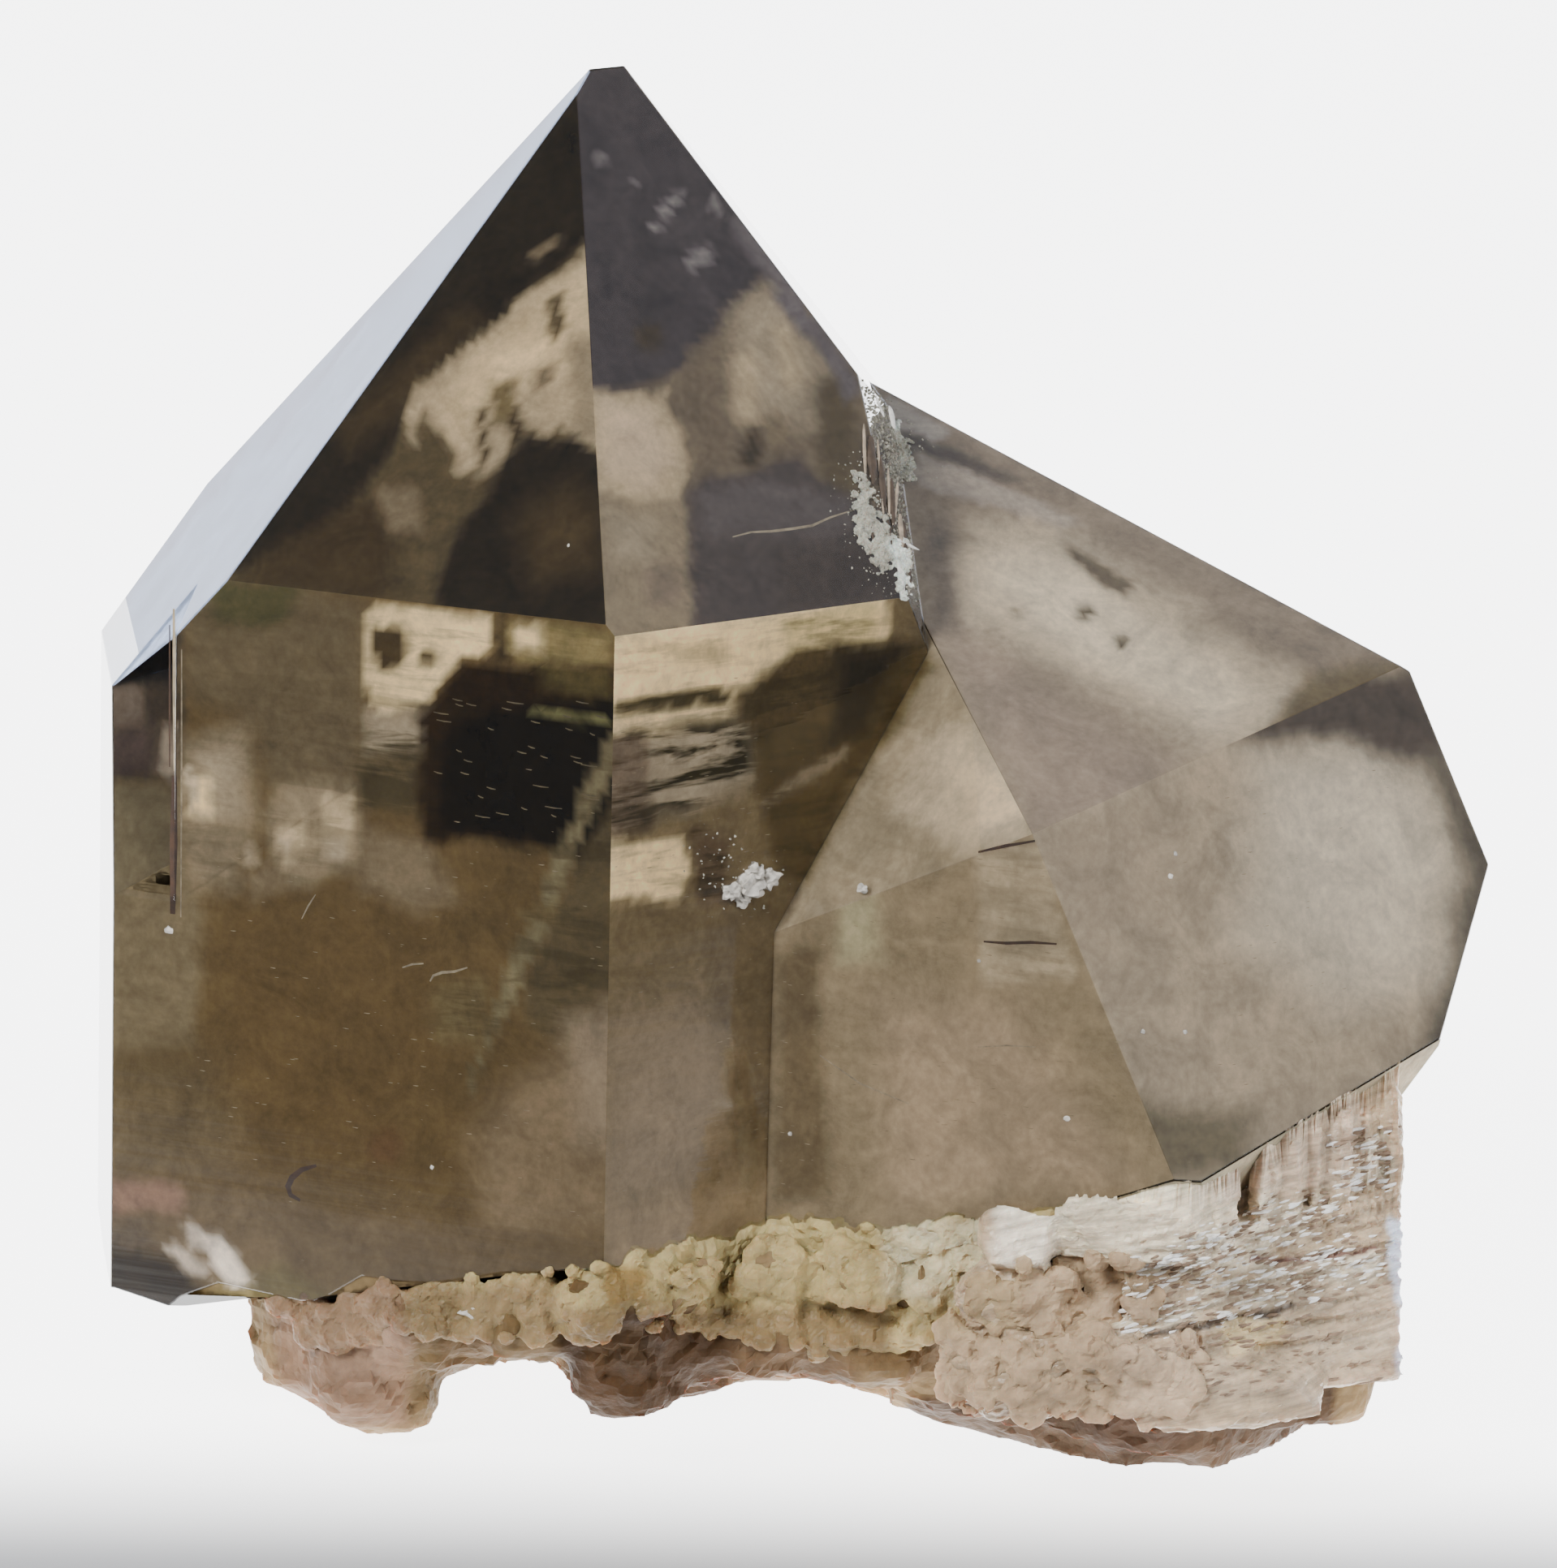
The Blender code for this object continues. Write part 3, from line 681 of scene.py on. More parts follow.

# %% [markdown]
# The right front pyramid face is brighter towards its outer edge, where a speckled pale rim runs down.
# Its dark tip, with a lavender tinge, is partly smoke and partly painted shade, light mottles lie in its
# middle, and a second dark zone of painted shade fills its foot.

# %% Haze under the right front pyramid face
GREY_WISP = (0.250, 0.215, 0.200)
right_pyramid_clouds = [
    # light mottles in the middle
    cloud([(900, 376), (960, 350), (1010, 440), (1000, 519), (920, 510)], 30, STONE, 0.9),
    cloud([(905, 440), (930, 430), (935, 520), (910, 530)], 8, WINDOW, 0.93),
    cloud([(955, 400), (975, 395), (990, 470), (972, 480)], 10, WINDOW, 0.93),
    cloud([(1005, 470), (1055, 460), (1060, 620), (1012, 600)], 16, MOSS, 0.96),
    cloud([(915, 534), (936, 530), (930, 578), (910, 572)], 6, UMBER, 0.95),
    cloud([(940, 520), (960, 500), (975, 530), (950, 560)], 6, TAUPE, 0.93),
    # the pale panel beside the ridge, painted light like the cream window on the left face
    cloud([(724, 483), (823, 480), (845, 575), (840, 618), (730, 618)], 5, WINDOW, 0.93),
    cloud([(745, 500), (800, 500), (830, 570), (800, 600), (750, 580)], 20, (0.640, 0.500, 0.335), 0.93),
    cloud([(730, 615), (842, 615), (852, 775), (740, 785)], 8, FLINT, 0.93),
    cloud([(756, 640), (800, 640), (800, 690), (756, 690)], 20, STONE, 0.92),
    cloud([(790, 700), (830, 690), (840, 740), (800, 750)], 14, (0.24, 0.18, 0.12), 0.94),
    # the lower dark zone and its lavender top, painted shade
    cloud([(846, 603), (874, 587), (915, 587), (956, 567), (987, 557), (1007, 587), (1048, 618),
           (1110, 640), (1160, 770), (852, 790)], 7, (0.080, 0.061, 0.050), 0.985),
    cloud([(862, 604), (950, 590), (1050, 620), (1050, 655), (862, 660)], 16, (0.112, 0.090, 0.080), 0.98),
    cloud([(960, 680), (1060, 670), (1110, 740), (960, 755)], 26, (0.062, 0.046, 0.034), 0.985),
    # the dark tip, partly smoke and partly painted shade
    cloud([(690, 60), (800, 60), (975, 332), (953, 340), (910, 368), (885, 394), (844, 429), (839, 455),
           (808, 468), (752, 483), (715, 478)], 7, PLUM, 0.985),
    cloud([(740, 240), (800, 260), (850, 400), (780, 440), (738, 400)], 40, (0.058, 0.045, 0.041), 0.985),
    cloud([(780, 405), (812, 402), (815, 432), (785, 430)], 9, UMBER, 0.98),
    # whitish wisps near the tip
    cloud([(818, 262), (822, 246), (836, 238), (849, 240), (838, 251), (826, 268)], 5, GREY_WISP, 0.97),
    cloud([(874, 240), (884, 240), (887, 262), (877, 256)], 5, GREY_WISP, 0.97),
    cloud([(844, 325), (858, 302), (875, 301), (867, 322), (850, 333)], 6, GREY_WISP, 0.97),
    cloud([(806, 286), (813, 274), (818, 280), (811, 292)], 4, GREY_WISP, 0.97),
    cloud([(730, 192), (744, 190), (744, 198), (732, 200)], 4, GREY_WISP, 0.97),
    cloud([(780, 214), (789, 216), (788, 230), (781, 226)], 4, GREY_WISP, 0.97),
    # a speckled pale rim along the outer edge
    cloud([(900, 262), (925, 280), (1062, 478), (1046, 494), (975, 392), (915, 300)], 7,
          (0.150, 0.125, 0.120), 0.95),
]
right_pyramid_base = ((0.165, 0.124, 0.076), 0.96, 0.0)
haze_sheet("right_pyramid_haze", RIGHT_PYRAMID, right_pyramid_base, right_pyramid_clouds, paler=0.96)

# %% [markdown]
# The front left upright face shows most of the smoke: bright square patches just under the pyramid,
# an almost black block beside the ridge, a pale cloud to the left of it, and warm even brown below,
# down to a lighter band and a dark corner at the foot.

# %% Haze under the left upright face
left_margin_clouds = [
    cloud([(90, 700), (228, 700), (228, 960), (90, 960)], 6, (0.058, 0.041, 0.024), 0.98),
    cloud([(126, 842), (176, 846), (172, 892), (126, 897)], 9, (0.150, 0.112, 0.078), 0.97),
    cloud([(126, 905), (182, 896), (188, 950), (128, 955)], 10, (0.082, 0.056, 0.043), 0.975),
    # a painted highlight near the step's edge
    cloud([(196, 900), (214, 893), (214, 955), (194, 955)], 6, (0.330, 0.262, 0.185), 0.96),
    cloud([(90, 962), (226, 966), (226, 1200), (90, 1200)], 7, (0.165, 0.130, 0.072), 0.97, 0.1),
]
left_upright_clouds = left_margin_clouds + [
    cloud([(228, 690), (452, 735), (452, 965), (330, 965), (300, 880), (228, 860)], 22,
          (0.138, 0.103, 0.056), 0.975, 0.15),
    cloud([(260, 712), (372, 722), (350, 765), (262, 770)], 14, (0.086, 0.074, 0.032), 0.975),
    # painted glow beside the slot, and the pale cloud
    cloud([(225, 915), (300, 890), (312, 1000), (292, 1095), (228, 1095)], 22, FLINT, 0.94, 0.25),
    cloud([(250, 930), (290, 925), (292, 1000), (250, 1010)], 14, STONE, 0.92, 0.2),
    cloud([(236, 965), (262, 960), (264, 996), (238, 1000)], 8, CREAM, 0.94),
    cloud([(325, 1000), (345, 962), (440, 962), (445, 1066), (345, 1092)], 16, FLINT, 0.94, 0.3),
    cloud([(345, 1020), (380, 1010), (385, 1050), (350, 1062)], 9, SAND, 0.92, 0.2),
    cloud([(400, 980), (432, 975), (435, 1050), (402, 1058)], 10, SAND, 0.92, 0.4),
    cloud([(226, 948), (244, 944), (248, 984), (232, 992)], 4, (0.640, 0.520, 0.350), 0.97, 0.3),
    cloud([(348, 1030), (362, 1028), (366, 1050), (350, 1052)], 4, (0.560, 0.450, 0.300), 0.97),
    cloud([(398, 1034), (420, 1032), (424, 1056), (402, 1058)], 4, (0.560, 0.450, 0.300), 0.97, 0.3),
    cloud([(296, 1042), (314, 1040), (318, 1066), (300, 1070)], 5, (0.380, 0.300, 0.190), 0.97, 0.3),
    cloud([(436, 1030), (532, 1040), (562, 1112), (520, 1128), (440, 1094)], 18, TAUPE, 0.95, 0.1),
    cloud([(300, 1080), (340, 1060), (360, 1085), (310, 1120)], 12, TAUPE, 0.95, 0.1),
    # bright square patches under the pyramid edge
    cloud([(452, 742), (606, 758), (606, 800), (566, 812), (535, 850), (530, 872), (470, 876), (450, 830)],
          6, CREAM, 0.94, 0.45),
    cloud([(458, 764), (498, 768), (506, 792), (496, 822), (474, 828), (456, 802)], 6, UMBER, 0.97),
    cloud([(515, 800), (545, 800), (540, 822), (512, 820)], 5, MOSS, 0.95),
    cloud([(612, 752), (622, 752), (626, 812), (612, 812)], 4, UMBER, 0.97),
    cloud([(622, 760), (752, 778), (752, 812), (690, 822), (640, 812), (622, 795)], 8,
          (0.250, 0.190, 0.080), 0.96, 0.3),
    cloud([(636, 766), (672, 772), (668, 800), (634, 796)], 8, CREAM, 0.94, 0.2),
    # wavy streaks below them
    cloud([(450, 872), (534, 870), (545, 905), (505, 940), (452, 935)], 12, STONE, 0.93, 1.0),
    cloud([(440, 930), (530, 920), (525, 1000), (440, 1000)], 18, MOSS, 0.97, 0.6),
    # the nearly black block
    cloud([(516, 872), (534, 868), (545, 848), (566, 818), (775, 822), (775, 1078), (706, 1074),
           (690, 1042), (528, 1038), (514, 985)], 9, (0.022, 0.011, 0.003), 0.993, 0.15),
    cloud([(560, 890), (775, 850), (775, 1060), (705, 1058), (640, 1036), (545, 1028), (540, 930)], 14, INK,
          0.996),
    cloud([(660, 820), (750, 822), (748, 860), (668, 850)], 10, (0.085, 0.064, 0.022), 0.98, 0.3),
    cloud([(650, 872), (752, 885), (752, 893), (650, 881)], 4, (0.170, 0.155, 0.062), 0.96),
    # a speckled wedge under the ridge, and the veil beside it
    cloud([(757, 985), (762, 1300), (675, 1285), (640, 1240), (690, 1100)], 12, MOSS, 0.975, 0.4),
    cloud([(757, 905), (764, 925), (708, 1045), (680, 1128), (640, 1220), (600, 1292), (582, 1350),
           (574, 1342), (622, 1200), (662, 1110), (696, 1030)], 5, (0.200, 0.160, 0.085), 0.95, 0.5),
    cloud([(640, 1120), (690, 1110), (690, 1130), (640, 1136)], 5, KHAKI, 0.95, 0.5),
    # paler left margin, and the even brown below the arc
    cloud([(110, 1080), (232, 1090), (262, 1130), (244, 1180), (240, 1292), (110, 1300)], 13,
          (0.190, 0.145, 0.080), 0.97, 0.1),
    cloud([(110, 1292), (290, 1300), (290, 1445), (110, 1445)], 34, (0.128, 0.092, 0.045), 0.97),
    cloud([(280, 1140), (330, 1110), (440, 1110), (540, 1150), (560, 1330), (400, 1420), (280, 1340)], 40,
          (0.120, 0.079, 0.032), 0.975),
    # milky clouds towards the ridge
    cloud([(540, 1210), (600, 1205), (590, 1290), (535, 1280)], 14, KHAKI, 0.96, 0.4),
    cloud([(690, 1300), (765, 1240), (765, 1530), (600, 1530), (575, 1400), (620, 1340)], 36,
          (0.205, 0.148, 0.084), 0.97),
    cloud([(700, 1260), (765, 1230), (765, 1420), (715, 1400)], 26, (0.270, 0.205, 0.132), 0.96),
    cloud([(454, 1402), (480, 1390), (500, 1405), (490, 1434), (456, 1432)], 8, RUST, 0.97),
    # the lighter band at the foot
    cloud([(110, 1438), (220, 1458), (358, 1478), (460, 1497), (520, 1503), (640, 1520), (765, 1540),
           (765, 1660), (110, 1660)], 5, (0.140, 0.098, 0.050), 0.975),
    cloud([(110, 1450), (222, 1462), (216, 1494), (110, 1487)], 8, ROSE, 0.965),
    cloud([(235, 1590), (340, 1560), (420, 1600), (420, 1660), (230, 1660)], 14, (0.140, 0.110, 0.050),
          0.97),
    cloud([(110, 1498), (172, 1503), (204, 1540), (150, 1548), (110, 1548)], 14, (0.100, 0.074, 0.046),
          0.97),
    cloud([(110, 1532), (205, 1548), (262, 1590), (300, 1602), (300, 1660), (110, 1660)], 12,
          (0.018, 0.010, 0.003), 0.993),
    cloud([(110, 1506), (132, 1508), (130, 1540), (110, 1548)], 6, (0.130, 0.105, 0.080), 0.97),
    cloud([(222, 1505), (246, 1508), (262, 1530), (240, 1538), (230, 1524)], 5, (0.520, 0.440, 0.350),
          0.97),
    cloud([(206, 1536), (222, 1534), (240, 1552), (262, 1556), (258, 1570), (226, 1562)], 6,
          (0.560, 0.470, 0.370), 0.97),
    cloud([(250, 1520), (272, 1522), (292, 1548), (304, 1580), (282, 1578), (262, 1556)], 6, MILK, 0.97),
]
left_upright_base = (OLIVE, 0.975, 0.08)
haze_sheet("left_upright_haze", LEFT_UPRIGHT, left_upright_base, left_upright_clouds, paler=1.1)

# %% [markdown]
# Right of the ridge the stone is brighter. Cream patches cut by level lines fill the upper half, a
# dark corner runs down to the join with the leaning crystal, and a milky brown cloud fills the foot.

# %% Haze under the right upright face
right_upright_clouds = [
    cloud([(745, 765), (1090, 725), (1090, 790), (985, 800), (962, 838), (908, 850), (902, 900), (850, 930),
           (745, 935)], 7, CREAM, 0.96, 0.3),
    cloud([(960, 760), (1085, 735), (1075, 790), (965, 800)], 8, (0.700, 0.560, 0.290), 0.95, 0.5),
    cloud([(755, 860), (900, 850), (900, 868), (755, 878)], 4, KHAKI, 0.95, 0.8),
    cloud([(785, 905), (905, 880), (960, 900), (940, 950), (850, 995), (785, 1005)], 16, STONE, 0.93, 1.0),
    cloud([(745, 905), (795, 905), (802, 1015), (745, 1030)], 9, (0.200, 0.145, 0.095), 0.97, 0.8),
    cloud([(745, 1038), (832, 1033), (847, 1075), (838, 1102), (745, 1112)], 6, CREAM, 0.94, 0.4),
    cloud([(905, 852), (970, 802), (1085, 790), (1150, 785), (1110, 880), (1050, 970), (988, 1100),
           (955, 1078), (945, 1000), (930, 960)], 12, (0.088, 0.060, 0.024), 0.985, 0.4),
    cloud([(1030, 800), (1110, 800), (1070, 900), (1010, 920)], 20, SOOT, 0.988, 0.2),
    cloud([(936, 985), (1040, 915), (1050, 925), (944, 1000)], 6, TAUPE, 0.96, 0.7),
    cloud([(845, 1015), (900, 1035), (902, 1115), (858, 1108)], 8, (0.130, 0.088, 0.048), 0.97, 0.6),
    # painted shade beside the join with the leaning crystal
    cloud([(880, 1125), (970, 1095), (975, 1430), (850, 1490), (870, 1300)], 26, (0.150, 0.108, 0.055),
          0.97),
    cloud([(745, 1250), (850, 1228), (900, 1280), (892, 1432), (800, 1475), (745, 1475)], 34,
          (0.255, 0.188, 0.112), 0.96),
    cloud([(745, 1490), (970, 1450), (970, 1600), (745, 1640)], 26, (0.290, 0.212, 0.122), 0.97),
]
right_upright_base = ((0.195, 0.142, 0.072), 0.97, 0.08)
haze_sheet("right_upright_haze", RIGHT_UPRIGHT, right_upright_base, right_upright_clouds, paler=1.2)

# %% [markdown]
# On the far left a narrow step stands out from the crystal. Its front is mottled and dark, and above it the
# steep pyramid face gets a painted reflection of the room, a cool pale grey ruled by faint lines that run
# down its length.

# %% Haze under the step, and a painted reflection on the steep left face
haze_sheet("step_haze", STEP_FRONT, left_upright_base, left_margin_clouds)
# painted reflection of the room: cool grey lines on a pale sky tint
steep_reflection_clouds = [
    cloud([(728, 70), (722, 92), (420, 440), (410, 420)], 5, LILAC, 0.95),
    cloud([(560, 250), (570, 258), (330, 560), (318, 548)], 4, LILAC, 0.95),
    cloud([(420, 400), (426, 408), (160, 740), (150, 730)], 4, LILAC, 0.95),
    cloud([(300, 500), (310, 520), (122, 800), (112, 770)], 8, LILAC, 0.95),
]
haze_sheet("steep_left_haze", STEEP_LEFT, (SKY, 0.94, 0.0), steep_reflection_clouds, paler=0.92)

# %% [markdown]
# The leaning crystal is hazier than the tall one and has fewer sharp contrasts. Its top face is mottled
# with soft light clouds and a few small dark smudges.

# %% Haze under the leaning crystal's top face
leaning_top_clouds = [
    cloud([(1070, 460), (1755, 800), (1700, 865), (1560, 800), (1400, 705), (1250, 645), (1120, 625)], 24,
          (0.300, 0.235, 0.165), 0.97),
    cloud([(1165, 700), (1205, 655), (1300, 655), (1400, 720), (1500, 790), (1600, 850), (1570, 900),
           (1480, 912), (1380, 862), (1260, 800), (1190, 770)], 40, (0.700, 0.585, 0.415), 0.95),
    cloud([(1230, 700), (1300, 690), (1400, 760), (1520, 850), (1500, 890), (1400, 840), (1260, 760)], 26,
          (0.780, 0.665, 0.485), 0.95),
    cloud([(1150, 770), (1235, 800), (1335, 875), (1440, 935), (1430, 1000), (1275, 1025)], 34,
          (0.375, 0.290, 0.210), 0.97),
    cloud([(1140, 640), (1175, 640), (1180, 790), (1145, 780)], 16, (0.270, 0.212, 0.155), 0.97),
    cloud([(1108, 528), (1255, 592), (1180, 604), (1116, 560)], 11, (0.125, 0.098, 0.074), 0.975),
    cloud([(1092, 492), (1165, 528), (1150, 548), (1096, 524)], 8, (0.520, 0.460, 0.390), 0.96),
    cloud([(1128, 560), (1235, 604), (1325, 640), (1302, 652), (1180, 614), (1118, 586)], 7,
          (0.480, 0.405, 0.320), 0.96),
    cloud([(1317, 680), (1330, 675), (1398, 715), (1391, 729), (1350, 721)], 6, (0.150, 0.115, 0.070),
          0.975),
    cloud([(1329, 749), (1344, 751), (1342, 766), (1328, 764)], 5, MOSS, 0.97),
    cloud([(1378, 786), (1391, 788), (1389, 799), (1378, 798)], 5, MOSS, 0.97),
    cloud([(1246, 745), (1262, 748), (1259, 761), (1246, 758)], 6, FLINT, 0.96),
    # painted shade at the right end of the top face
    cloud([(1600, 835), (1755, 805), (1760, 860), (1640, 905), (1560, 905)], 20, KHAKI, 0.97),
]
leaning_top_base = ((0.380, 0.300, 0.205), 0.97, 0.0)
haze_sheet("leaning_top_haze", LEANING_TOP, leaning_top_base, leaning_top_clouds, paler=0.87)

# %% [markdown]
# The faces below the top are the palest of all. Light clouds lie in the middle of each, the right rim
# is dark, and the small corner face repeats its neighbours' tints.

# %% Haze under the leaning crystal's other faces
leaning_right_clouds = [
    cloud([(1545, 930), (1680, 905), (1775, 975), (1792, 1080), (1778, 1210), (1640, 1240), (1530, 1150)],
          56, MIST, 0.96, 0.03),
    cloud([(1580, 960), (1690, 940), (1760, 1050), (1700, 1150), (1600, 1120)], 40, (0.720, 0.625, 0.475),
          0.96, 0.03),
    cloud([(1303, 1370), (1400, 1352), (1545, 1380), (1532, 1432), (1440, 1458), (1330, 1445)], 24,
          (0.200, 0.160, 0.092), 0.97, 0.1),
    cloud([(1280, 1000), (1440, 960), (1460, 1100), (1330, 1200)], 44, (0.420, 0.335, 0.230), 0.97),
    cloud([(1735, 825), (1850, 1060), (1770, 1370), (1722, 1365), (1772, 1240), (1805, 1070), (1752, 930)],
          20, (0.120, 0.098, 0.066), 0.985),
    cloud([(1480, 903), (1675, 828), (1760, 825), (1800, 905), (1740, 945), (1650, 905), (1560, 915)], 18,
          (0.098, 0.073, 0.052), 0.985, 0.1),
]
leaning_right_base = ((0.475, 0.382, 0.262), 0.97, 0.05)
haze_sheet("leaning_right_haze", LEANING_RIGHT, leaning_right_base, leaning_right_clouds, paler=0.92)
leaning_left_clouds = [
    cloud([(1030, 1107), (1083, 1098), (1088, 1178), (1034, 1182)], 18, (0.400, 0.350, 0.210), 0.97),
    cloud([(1203, 1046), (1290, 1038), (1322, 1205), (1216, 1216)], 7, (0.460, 0.370, 0.240), 0.97, 0.25),
    # painted shade along the left edge
    cloud([(955, 1180), (1010, 1150), (1022, 1470), (955, 1490)], 18, (0.175, 0.128, 0.070), 0.97),
    cloud([(1080, 1230), (1250, 1235), (1400, 1460), (1100, 1490)], 46, (0.400, 0.305, 0.195), 0.97),
]
leaning_left_base = ((0.315, 0.243, 0.146), 0.97, 0.08)
haze_sheet("leaning_left_haze", LEANING_LEFT, leaning_left_base, leaning_left_clouds, paler=1.06)
leaning_corner_clouds = [
    cloud([(1138, 905), (1200, 890), (1278, 1000), (1264, 1046), (1180, 1046), (1108, 1000)], 22,
          (0.640, 0.530, 0.370), 0.96, 0.08),
    cloud([(1180, 940), (1240, 960), (1262, 1010), (1200, 1020)], 14, (0.860, 0.700, 0.470), 0.96, 0.08),
    # painted shade along the left edge
    cloud([(1130, 800), (1152, 820), (1042, 1000), (992, 1092), (972, 1088)], 12, KHAKI, 0.97, 0.2),
]
leaning_corner_base = ((0.400, 0.325, 0.215), 0.97, 0.1)
haze_sheet("leaning_corner_haze", LEANING_CORNER, leaning_corner_base, leaning_corner_clouds)

# %% [markdown]
# The faces that the picture doesn't show get the same smoke, so that the stone is brown from every side.
# Their clouds are plain noise: dark smoke near the tips and paler haze lower down, in patches a few
# millimetres wide. Faces that look level or down are painted darker, as painted shade set against the bright
# floor that lights them strongly.

# %% Haze under the other faces
SMOKE_SPACING = 0.5 * MM
SMOKE_PATCH = 3.2 * MM
CLEARING_BELOW_TOP = 18 * MM
DEEPEST_SHADE = 0.25
SHADE_PER_TILT = 0.9
other_faces = [
    (-0.59, 0.8, 0), (0.4, 0.92, 0), (-0.47, 0.63, 0.62), (0.31, 0.72, 0.62), (0.78, 0.09, 0.62),
    (-0.99, -0.11, 0), (0.47, 0.24, 0.85), (0.05, 0.83, 0.55), (0.38, 0.92, -0.01), (0.91, 0.16, 0.37),
    (-0.53, 0.76, -0.38), (-0.66, 0.7, 0.26), (0.3, 0.72, -0.62), (0.87, 0.1, -0.49), (0.97, -0.1, -0.24),
]


def added(bm, other):
    """Adds another mesh, which is used up, to this one."""
    mesh = bpy.data.meshes.new("part")
    other.to_mesh(mesh)
    other.free()
    bm.from_mesh(mesh)
    bpy.data.meshes.remove(mesh)


def smoked(sheet, shade):
    """Stores smoke on every point: dark near the tips, paler lower down, in uneven patches, all scaled by
    the face's painted shade.
    """
    tint_layer = sheet.verts.layers.float_color.new("tint")
    streak_layer = sheet.verts.layers.float.new("streaks")
    for vert in sheet.verts:
        below = (quartz_top - vert.co.z) / CLEARING_BELOW_TOP
        patch = noise.fractal(vert.co / SMOKE_PATCH, 0.9, 2.0, 4)
        share = max(0, min(1, 0.5 * below + 0.55 * patch))
        deep = Vector(UMBER).lerp(Vector(TAUPE), min(1, share * 1.6))
        tint = deep.lerp(Vector(STONE), max(0, share * 1.6 - 1)) * shade
        vert[tint_layer] = (*tint, 0.985 - 0.05 * share)
        vert[streak_layer] = max(0, min(1, 0.2 + noise.noise(vert.co / SMOKE_PATCH * 0.7)))
    return sheet


smoke_bm = bmesh.new()
for normal in other_faces:
    # painted shade: faces that look level or down get a darker tint
    shade = DEEPEST_SHADE + SHADE_PER_TILT * max(0, normal[2])
    added(smoke_bm, smoked(face_grid(normal, SHEET_DEPTH, SMOKE_SPACING), shade))
piece_from("smoke_behind", smoke_bm, haze)

# %% [markdown]
# Fine things lie in or on the stone: a pale curved thread, scratches, a brown crescent crack, a narrow slot
# beside the step, drawn as painted shadow with a painted highlight along its edge, and short level dashes in
# the dark block. Each is a thin ribbon just over the haze, tapered at both ends, because nothing this small
# has a thickness to see. Their finish is one plain colour with a fine speckle.

# %% Ribbons
RIBBON_DEPTH = 0.045 * MM
SPECKLE_SCALE = 3000
SPECKLE_DARKEST, SPECKLE_LIGHTEST = 0.65, 1.3


def flat_finish(name, colour, roughness):
    finish, tree, shader = new_finish(name)
    speckle = noise_node(tree, stretched_place(tree, EVEN), SPECKLE_SCALE, 4, 0.6)
    low = tuple(part * SPECKLE_DARKEST for part in colour) + (1,)
    high = tuple(min(1, part * SPECKLE_LIGHTEST) for part in colour) + (1,)
    tint = mixed_colour(tree, ranged(tree, speckle, 0.35, 0.65, 0, 1), low, high)
    filled(tree, shader, {"Base Color": tint, "Roughness": roughness})
    return finish


def ribbon(bm, normal, path, width):
    """A thin flat strip under a quartz face, along a path that is given as it shows."""
    face = face_like(normal)
    facing = face.normal.copy()
    plane_point = face.verts[0].co - facing * RIBBON_DEPTH
    spots = [on_plane(spot, plane_point, facing) for spot in path]
    rows = []
    for i, spot in enumerate(spots):
        ahead = spots[min(i + 1, len(spots) - 1)] - spots[max(i - 1, 0)]
        side = ahead.cross(facing).normalized()
        taper = 0.25 + 0.75 * math.sin(math.pi * (i + 0.5) / len(spots))
        half = side * width / PICTURE_PER_MM * MM * taper / 2
        rows.append((bm.verts.new(spot - half), bm.verts.new(spot + half)))
    for (a, b), (c, d) in zip(rows, rows[1:]):
        strip = bm.faces.new((a, b, d, c))
        strip.normal_update()
        if strip.normal.dot(facing) < 0:
            strip.normal_flip()


def ribbons(name, marks, colour):
    bm = bmesh.new()
    for normal, path, width in marks:
        ribbon(bm, normal, path, width)
    return piece_from(name, bm, flat_finish(name.replace("_", " "), colour, 0.6))


# %% [markdown]
# The pale marks are the thread, the scratches and painted highlights along the slot's edge. The dashes in
# the dark block are too many to draw one by one, so a fixed seed strews them. The dark marks are the crack,
# painted shadow in the slot and beside it, and two lines.

# %% Threads and cracks
pale_marks = [
    (RIGHT_PYRAMID, [(902, 662), (925, 656), (950, 655), (975, 652), (1000, 648), (1022, 638), (1050, 629)],
     3.5),
    (LEFT_UPRIGHT, [(530, 1209), (534, 1202), (545, 1198), (560, 1197), (576, 1192)], 3.5),
    (LEFT_UPRIGHT, [(496, 1192), (508, 1188), (522, 1187)], 2.5),
    (LEFT_UPRIGHT, [(372, 1132), (380, 1116), (389, 1102)], 2.0),
    # the next two are painted highlights along the slot's edges
    (LEFT_UPRIGHT, [(214, 750), (215, 850), (215, 950)], 5.0),
    (LEFT_UPRIGHT, [(224, 800), (224, 960), (223, 1130)], 2.5),
    (LEANING_LEFT, [(1205, 1290), (1240, 1288), (1276, 1290)], 2.0),
    (LEANING_LEFT, [(1010, 1300), (1060, 1335), (1120, 1360)], 2.5),
]
ribbons("pale_marks", pale_marks, (0.34, 0.27, 0.17))
DASHES = 34
DASH_COLUMNS = (525, 735)
DASH_ROWS = (850, 1010)
DASH_LENGTHS = (6, 22)
dash_rows = random.Random(4)
block_dashes = []
for _ in range(DASHES):
    left, top, length = (dash_rows.uniform(*span) for span in (DASH_COLUMNS, DASH_ROWS, DASH_LENGTHS))
    path = [(left, top), (left + length / 2, top + 2), (left + length, top + 3)]
    block_dashes.append((LEFT_UPRIGHT, path, 1.8))
ribbons("block_dashes", block_dashes, (0.115, 0.085, 0.034))
